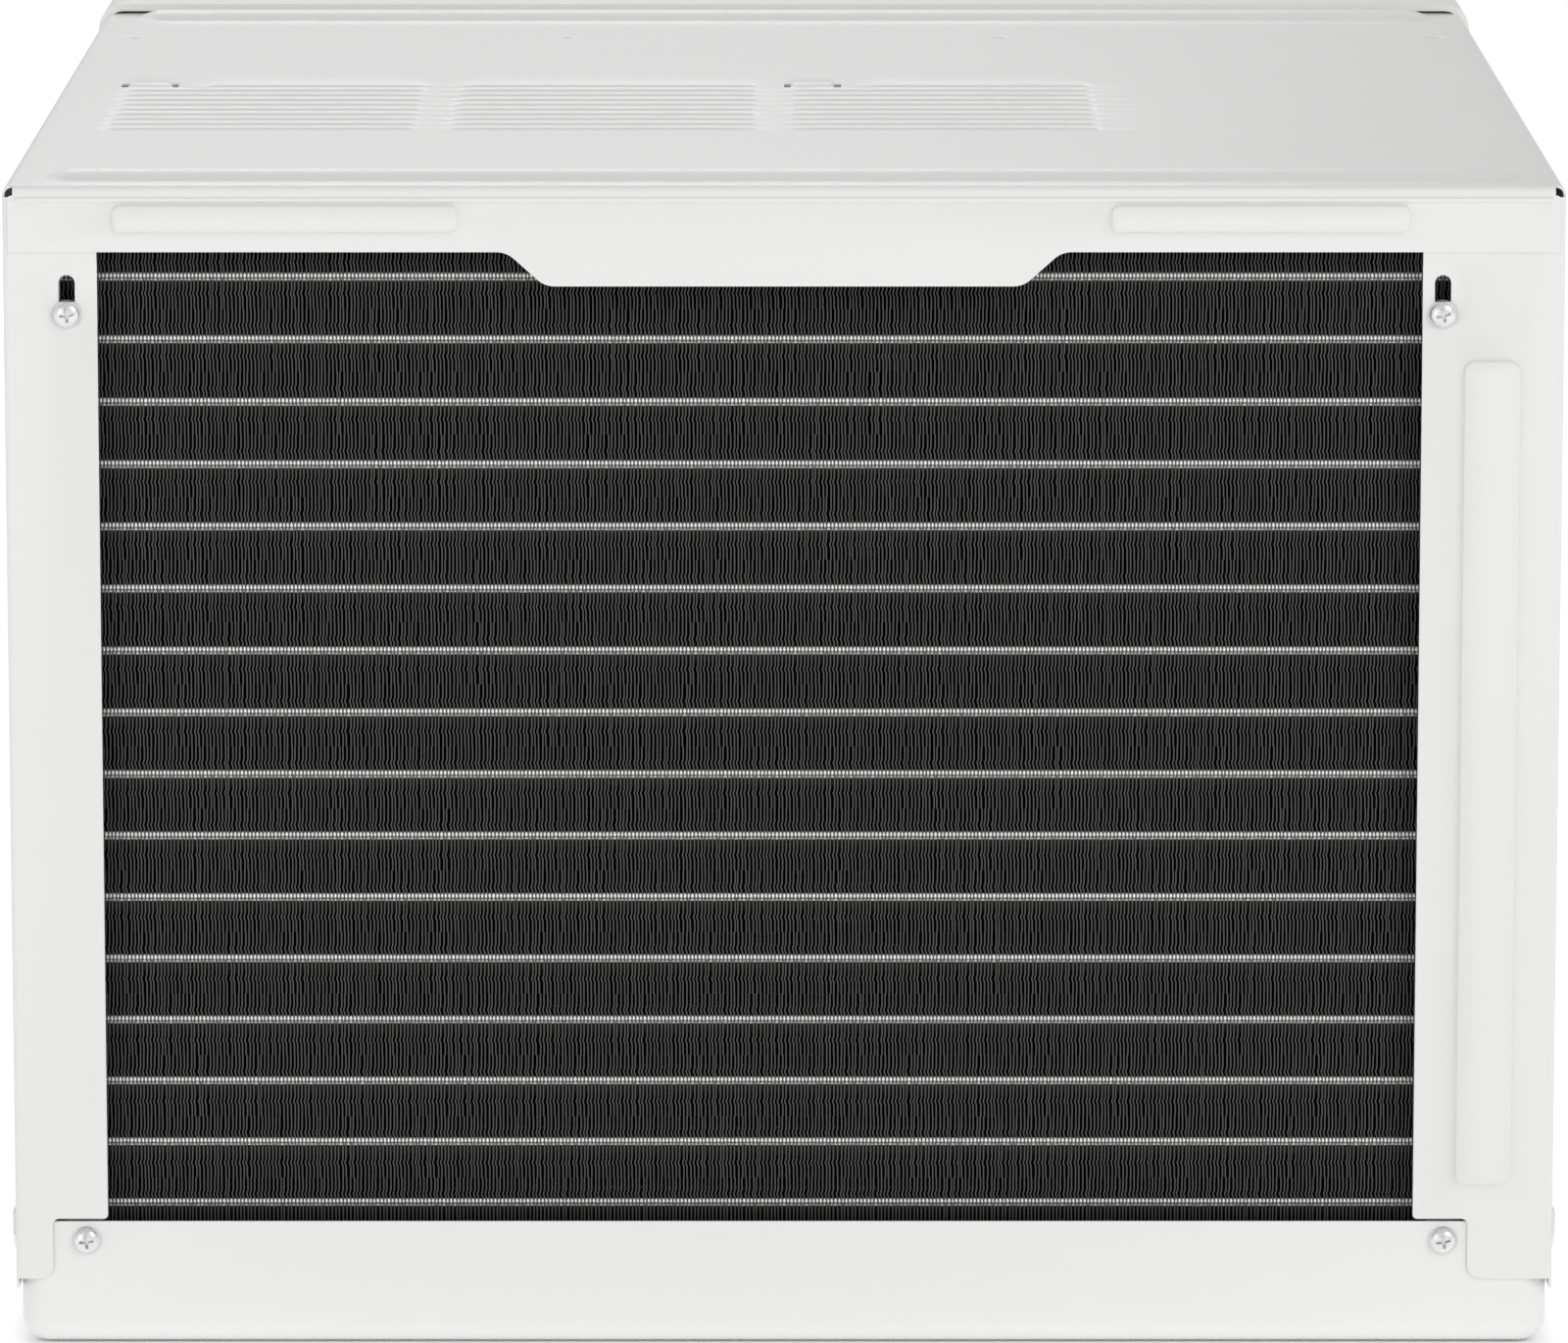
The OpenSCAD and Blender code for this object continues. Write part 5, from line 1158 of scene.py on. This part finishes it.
warp = netThreads("netWarp", (fLow.x + 7, fLow.z + 6), (fLow.x + 7, fHigh.z - 6), 0.16,
    int((fHigh.x - fLow.x - 12) / gap), 1)
weft = netThreads("netWeft", (fLow.x + 6, fLow.z + 7), (fHigh.x - 6, fLow.z + 7), -0.16, 1,
    int((fHigh.z - fLow.z - 12) / gap))
settle(joined([warp, weft], "filterNet"), "filter", ["filter_mesh"])

# discharge louvres: airfoil blades across, upright vanes behind them
foil = [(-0.5, 0.02), (-0.47, 0.34), (-0.36, 0.5), (0.0, 0.46), (0.36, 0.3), (0.5, 0.1), (0.5, -0.1),
    (0.36, -0.3), (0.0, -0.46), (-0.36, -0.5), (-0.47, -0.34)]
for k in range(1, 4):
    node = f"louvre_blade_{k}"
    low, high = corners(node)
    cy, cz = -264.0, 287.0 + 20 * k
    blade = Shape()
    blade.rings([[(x, cy + a * 18 * s, cz + b * 2.2 * s) for a, b in foil] for x, s in ((-219.6, 0.9),
        (-219.0, 1.0), (105.0, 1.0), (105.6, 0.9))])
    for x0, x1 in ((low.x, -219.2), (105.2, high.x)):
        blade.rings([around(1.5, 16, lambda a, b: (x, cy + a, cz + b)) for x in (x0, x1)])
    piece(blade, f"louvreBlade{k}", louvrePlastic, body=f"blade_{k}", stands=[node],
        smooth=45)
for k in range(1, 9):
    node = f"vane_{k}"
    low, high = corners(node)
    cx = -201.375 + 41.25 * (k - 1)
    vane = Shape()
    vane.rings([[(cx + b * 2.0 * s, -241.2 + a * 24 * s, z) for a, b in foil] for z,
        s in ((low.z + 3.0, 0.93), (low.z + 3.6, 1.0), (high.z - 3.6, 1.0), (high.z - 3.0, 0.93))])
    for z0, z1 in ((low.z, low.z + 3.4), (high.z - 3.4, high.z)):
        vane.rings([around(1.45, 16, lambda a, b: (cx + a, -241.2 + b, z)) for z in (z0, z1)])
    vane.rings([around(1.0, 12, lambda a, b: (cx + 0.9 * a, -229.2 + 1.2 * b, z)) for z in (299, 303)])
    piece(vane, f"vane{k}", louvrePlastic, body=f"swing_{k}", smooth=45)
print("louvres made")

# controls: keys with dished faces on a fascia, a small display
keys = {"radius": 5.0, "dish": 0.5, "edge": 0.6}
keyNodes = {"power": (150, 303), "mode": (180, 303), "speed": (210, 303), "timer": (150, 319),
    "warmer": (180, 319), "cooler": (210, 319)}
for name, (kx, kz) in keyNodes.items():
    node = f"button_{name}"
    if not bpy.data.objects.get(node):
        continue
    low, high = corners(node)
    cap = Shape()
    r, e = keys["radius"] - 0.05, keys["edge"]
    cap.lathe([(0, high.y), (r, high.y), (r, low.y + e), (r - e * 0.3, low.y + e * 0.3), (r - e, low.y),
        (r - e - 0.5, low.y), (r * 0.5, low.y + keys["dish"] * 0.75), (0, low.y + keys["dish"])],
              lambda x, z, d: (kx + x, d, kz + z), steps=40)
    piece(cap, f"key{name.capitalize()}", keyGrey, body=f"key_{name}", stands=[node], smooth=40)
print("controls made")

# refrigeration parts inside
compressor = {"x": -160.0, "y": 75.0, "radius": 59.0, "base": 20.0, "seam": 152.0, "feet": (90, 210, 330),
    "footReach": 68.0, "footRound": 13.0}
pot = Shape()
r, zs, seam = compressor["radius"], compressor["base"], compressor["seam"]
potProfile = [(0, zs + 9.5), (30, zs + 9.6), (44, zs + 11), (53, zs + 15.5), (57.5, zs + 23),
    (r - 1, zs + 32), (r - 1, seam - 4), (r - 0.6, seam - 3), (r, seam - 1.5), (r, seam + 1.5),
    (r - 1.2, seam + 3.2), (r - 1.4, 196), (56, 208), (49, 219), (38, 226.5), (22, 230), (0, 231)]
pot.lathe(potProfile, lambda x, y, h: (compressor["x"] + x, compressor["y"] + y, h), steps=72)
piece(pot, "compressorShell", blackPaint, smooth=40)
tank = Shape()
accumulator = {"x": -160.0, "y": -13.0, "radius": 24.0}
ar = accumulator["radius"]
tank.lathe([(0, 60), (8, 60.3), (16, 63), (21.5, 68.5), (ar, 77), (ar, 173), (21.5, 181.5), (16, 187),
    (8, 189.7), (0, 190)], lambda x, y, h: (accumulator["x"] + x, accumulator["y"] + y, h), steps=48)
piece(tank, "accumulatorTank", blackPaint, smooth=45)
base = Shape()
for a in compressor["feet"]:
    q = radians(a)
    u, v = Vector((cos(q), sin(q), 0)), Vector((-sin(q), cos(q), 0))
    reach, w0 = compressor["footReach"], compressor["footRound"]
    loop = [(20, -w0), (reach, -w0)]
    loop += [(reach + w0 * sin(b), -w0 * cos(b)) for b in steps(0.26, 2.88, 8)]
    loop += [(reach, w0), (20, w0)]
    centre = Vector((compressor["x"], compressor["y"], 0))
    base.rings([[tuple(centre + u * s + v * w + Vector((0, 0, z))) for s, w in loop] for z in (20.0, 22.9)])
base.lathe([(0, 229), (12, 229), (12, 243.5), (11.2, 244.6), (0, 245)],
    lambda x, y, h: (-147 + x, 75 + y, h), steps=32)
piece(base, "compressorFeet", blackPaint, stands=["compressor"], smooth=35)
strap = Shape().box((-168, -13 + 23, 150), (-152, 16.4, 162))
piece(strap, "accumulatorStrap", blackPaint, stands=["accumulator"], bevel=0.4)
elbow = Shape()
elbow.add([(-160, -13, 62), (-160, -13, 42), (-160, 17, 42)], [])
settle(grown(elbow, "accumulatorFoot", pipeTree, {"Radius": 0.0045, "Bend": 0.012, "Sides": 20,
    "Bend steps": 8, "Seed": 1}, copper, edges=[(0, 1), (1, 2)]), "chassis")

# blower wheel: forward-curved blades between a ring and a disc
wheel = {"blades": 36, "outer": 100.0, "inner": 87.5, "width": 80.0, "thick": 0.9}
wY = -148.5
vaneShape = Shape()
curve = []
for k in range(6):
    s = k / 5
    curve.append((wheel["inner"] + 0.5 + (wheel["outer"] - wheel["inner"] - 1.0) * s, 7.5 * s * s - 1.5))
loops = []
for y in (1.0, wheel["width"] - 1.0):
    outerSide = [(r, t - wheel["thick"] / 2) for r, t in curve]
    innerSide = [(r, t + wheel["thick"] / 2) for r, t in reversed(curve)]
    loops.append([(r, y, t) for r, t in outerSide + innerSide])
vaneShape.rings(loops)
wheelBlades = grown(vaneShape, "wheelBlades", ringTree, {"Count": wheel["blades"],
    "Hub": (0, wY * mm, 0.172), "Seed": 1}, blackPlastic, smooth=50)
settle(wheelBlades, "rotor", ["blower_wheel"])
rims = Shape()
rims.lathe([(87, 0.2), (87.4, 0), (99.6, 0), (100, 0.4), (100, 2.6), (99.6, 3), (87.4, 3), (87, 2.8),
    (87, 0.2)], along(wY), steps=96)
rims.lathe([(4.1, 42), (13.6, 42), (14, 42.4), (14, 77.8), (99.6, 77.9), (100, 78.3), (100, 79.7),
    (99.6, 80), (4.1, 80), (4.1, 42)], along(wY), steps=96)
piece(rims, "wheelRims", blackPlastic, body="rotor", smooth=35)

# evaporator: the same rule as the condenser, two rows of tubes
eLow, eHigh = corners("evaporator_fins")
eCell = finCell(eHigh.y, eLow.y, 20.0, [(5.5, 0.0), (7.0, 0.4), (8.5, 0.0)], 0.3)
evaporator = {"pitch": 1.45, "rows": 12, "rowHeight": 20.0}
eFins = rows(eCell, "evaporatorFins", coolFins, int((eHigh.x - eLow.x) / evaporator["pitch"]),
    evaporator["rows"], evaporator["pitch"], evaporator["rowHeight"], (eLow.x + 0.5, 0, eLow.z + 0.1),
    shake=0.00002, lean=0.0005, seed=9)
settle(eFins, "chassis", ["evaporator_fins"])
print("inside made")

# window of the display, its dark face a little below the fascia
dLow, dHigh = corners("display_window")
glass = Shape().box((dLow.x, dLow.y, dLow.z), (dHigh.x, dHigh.y, dHigh.z))
piece(glass, "displayWindow", darkGlass, stands=["display_window"], bevel=0.3)
lLow, lHigh = corners("vent_lever")
tab = Shape().box((lLow.x + 3.5, lLow.y, lLow.z + 3), (lHigh.x - 3.5, lHigh.y, lHigh.z - 3))
tab.box((lLow.x, lHigh.y - 8.6, lLow.z), (lHigh.x, lHigh.y - 6.6, lHigh.z))
for k in range(-2, 3):
    mz = (lLow.z + lHigh.z) / 2 + k * 2
    tab.box((lLow.x + 3.2, lLow.y + 0.01, mz - 0.4), (lHigh.x - 3.2, lLow.y + 0.8, mz + 0.4))
piece(tab, "ventLever", keyGrey, body="lever", stands=["vent_lever"], bevel=0.3)
canLow, canHigh = corners("run_capacitor")
can = Shape()
cx, cz = (canLow.x + canHigh.x) / 2, (canLow.z + canHigh.z) / 2
can.lathe([(0, -179.2), (18.2, -179.2), (18.8, -180), (19.6, -180), (20, -179), (20, -174), (19.3, -173),
    (19.3, -171), (20, -170), (20, -106.5), (19, -105), (0, -105)], lambda x, z, y: (cx + x, y, cz + z),
    steps=48)
for s in (-6, 6):
    can.box((cx + s - 2.4, -184, cz - 0.4), (cx + s + 2.4, -179, cz + 0.4))
piece(can, "runCapacitor", canAlloy, stands=["run_capacitor"], smooth=40)

# every CAD node that stays gets its finish, white plastic where none is named
kept = {"motor_shaft": groundSteel, "motor_nuts": screwZinc, "compressor_studs": screwZinc,
    "blower_housing": whiteFoam, "control_board": boardGreen}
for coat, names in ((galvanised, ("coil_clips", "condenser_end_plates", "motor_bracket", "bulkhead",
        "evaporator_end_plates", "vent_door", "electrical_box")),
    (louvrePlastic, ("discharge_duct", "louvre_link", "vane_tie_1", "vane_tie_2")),
    (copper, ("discharge_pipe", "suction_pipe", "capillary_tube", "evaporator_tubes")),
    (rubber, ("compressor_grommets", "drain_plug"))):
    kept.update({name: coat for name in names})
shown = [n for n, o in nodes.items() if not o.hide_render]
for name in shown:
    obj = nodes[name]
    coat = kept.get(name, whitePlastic)
    if not obj.material_slots:
        obj.data.materials.append(coat)
    for slot in obj.material_slots:
        slot.link = "OBJECT"
        slot.material = coat
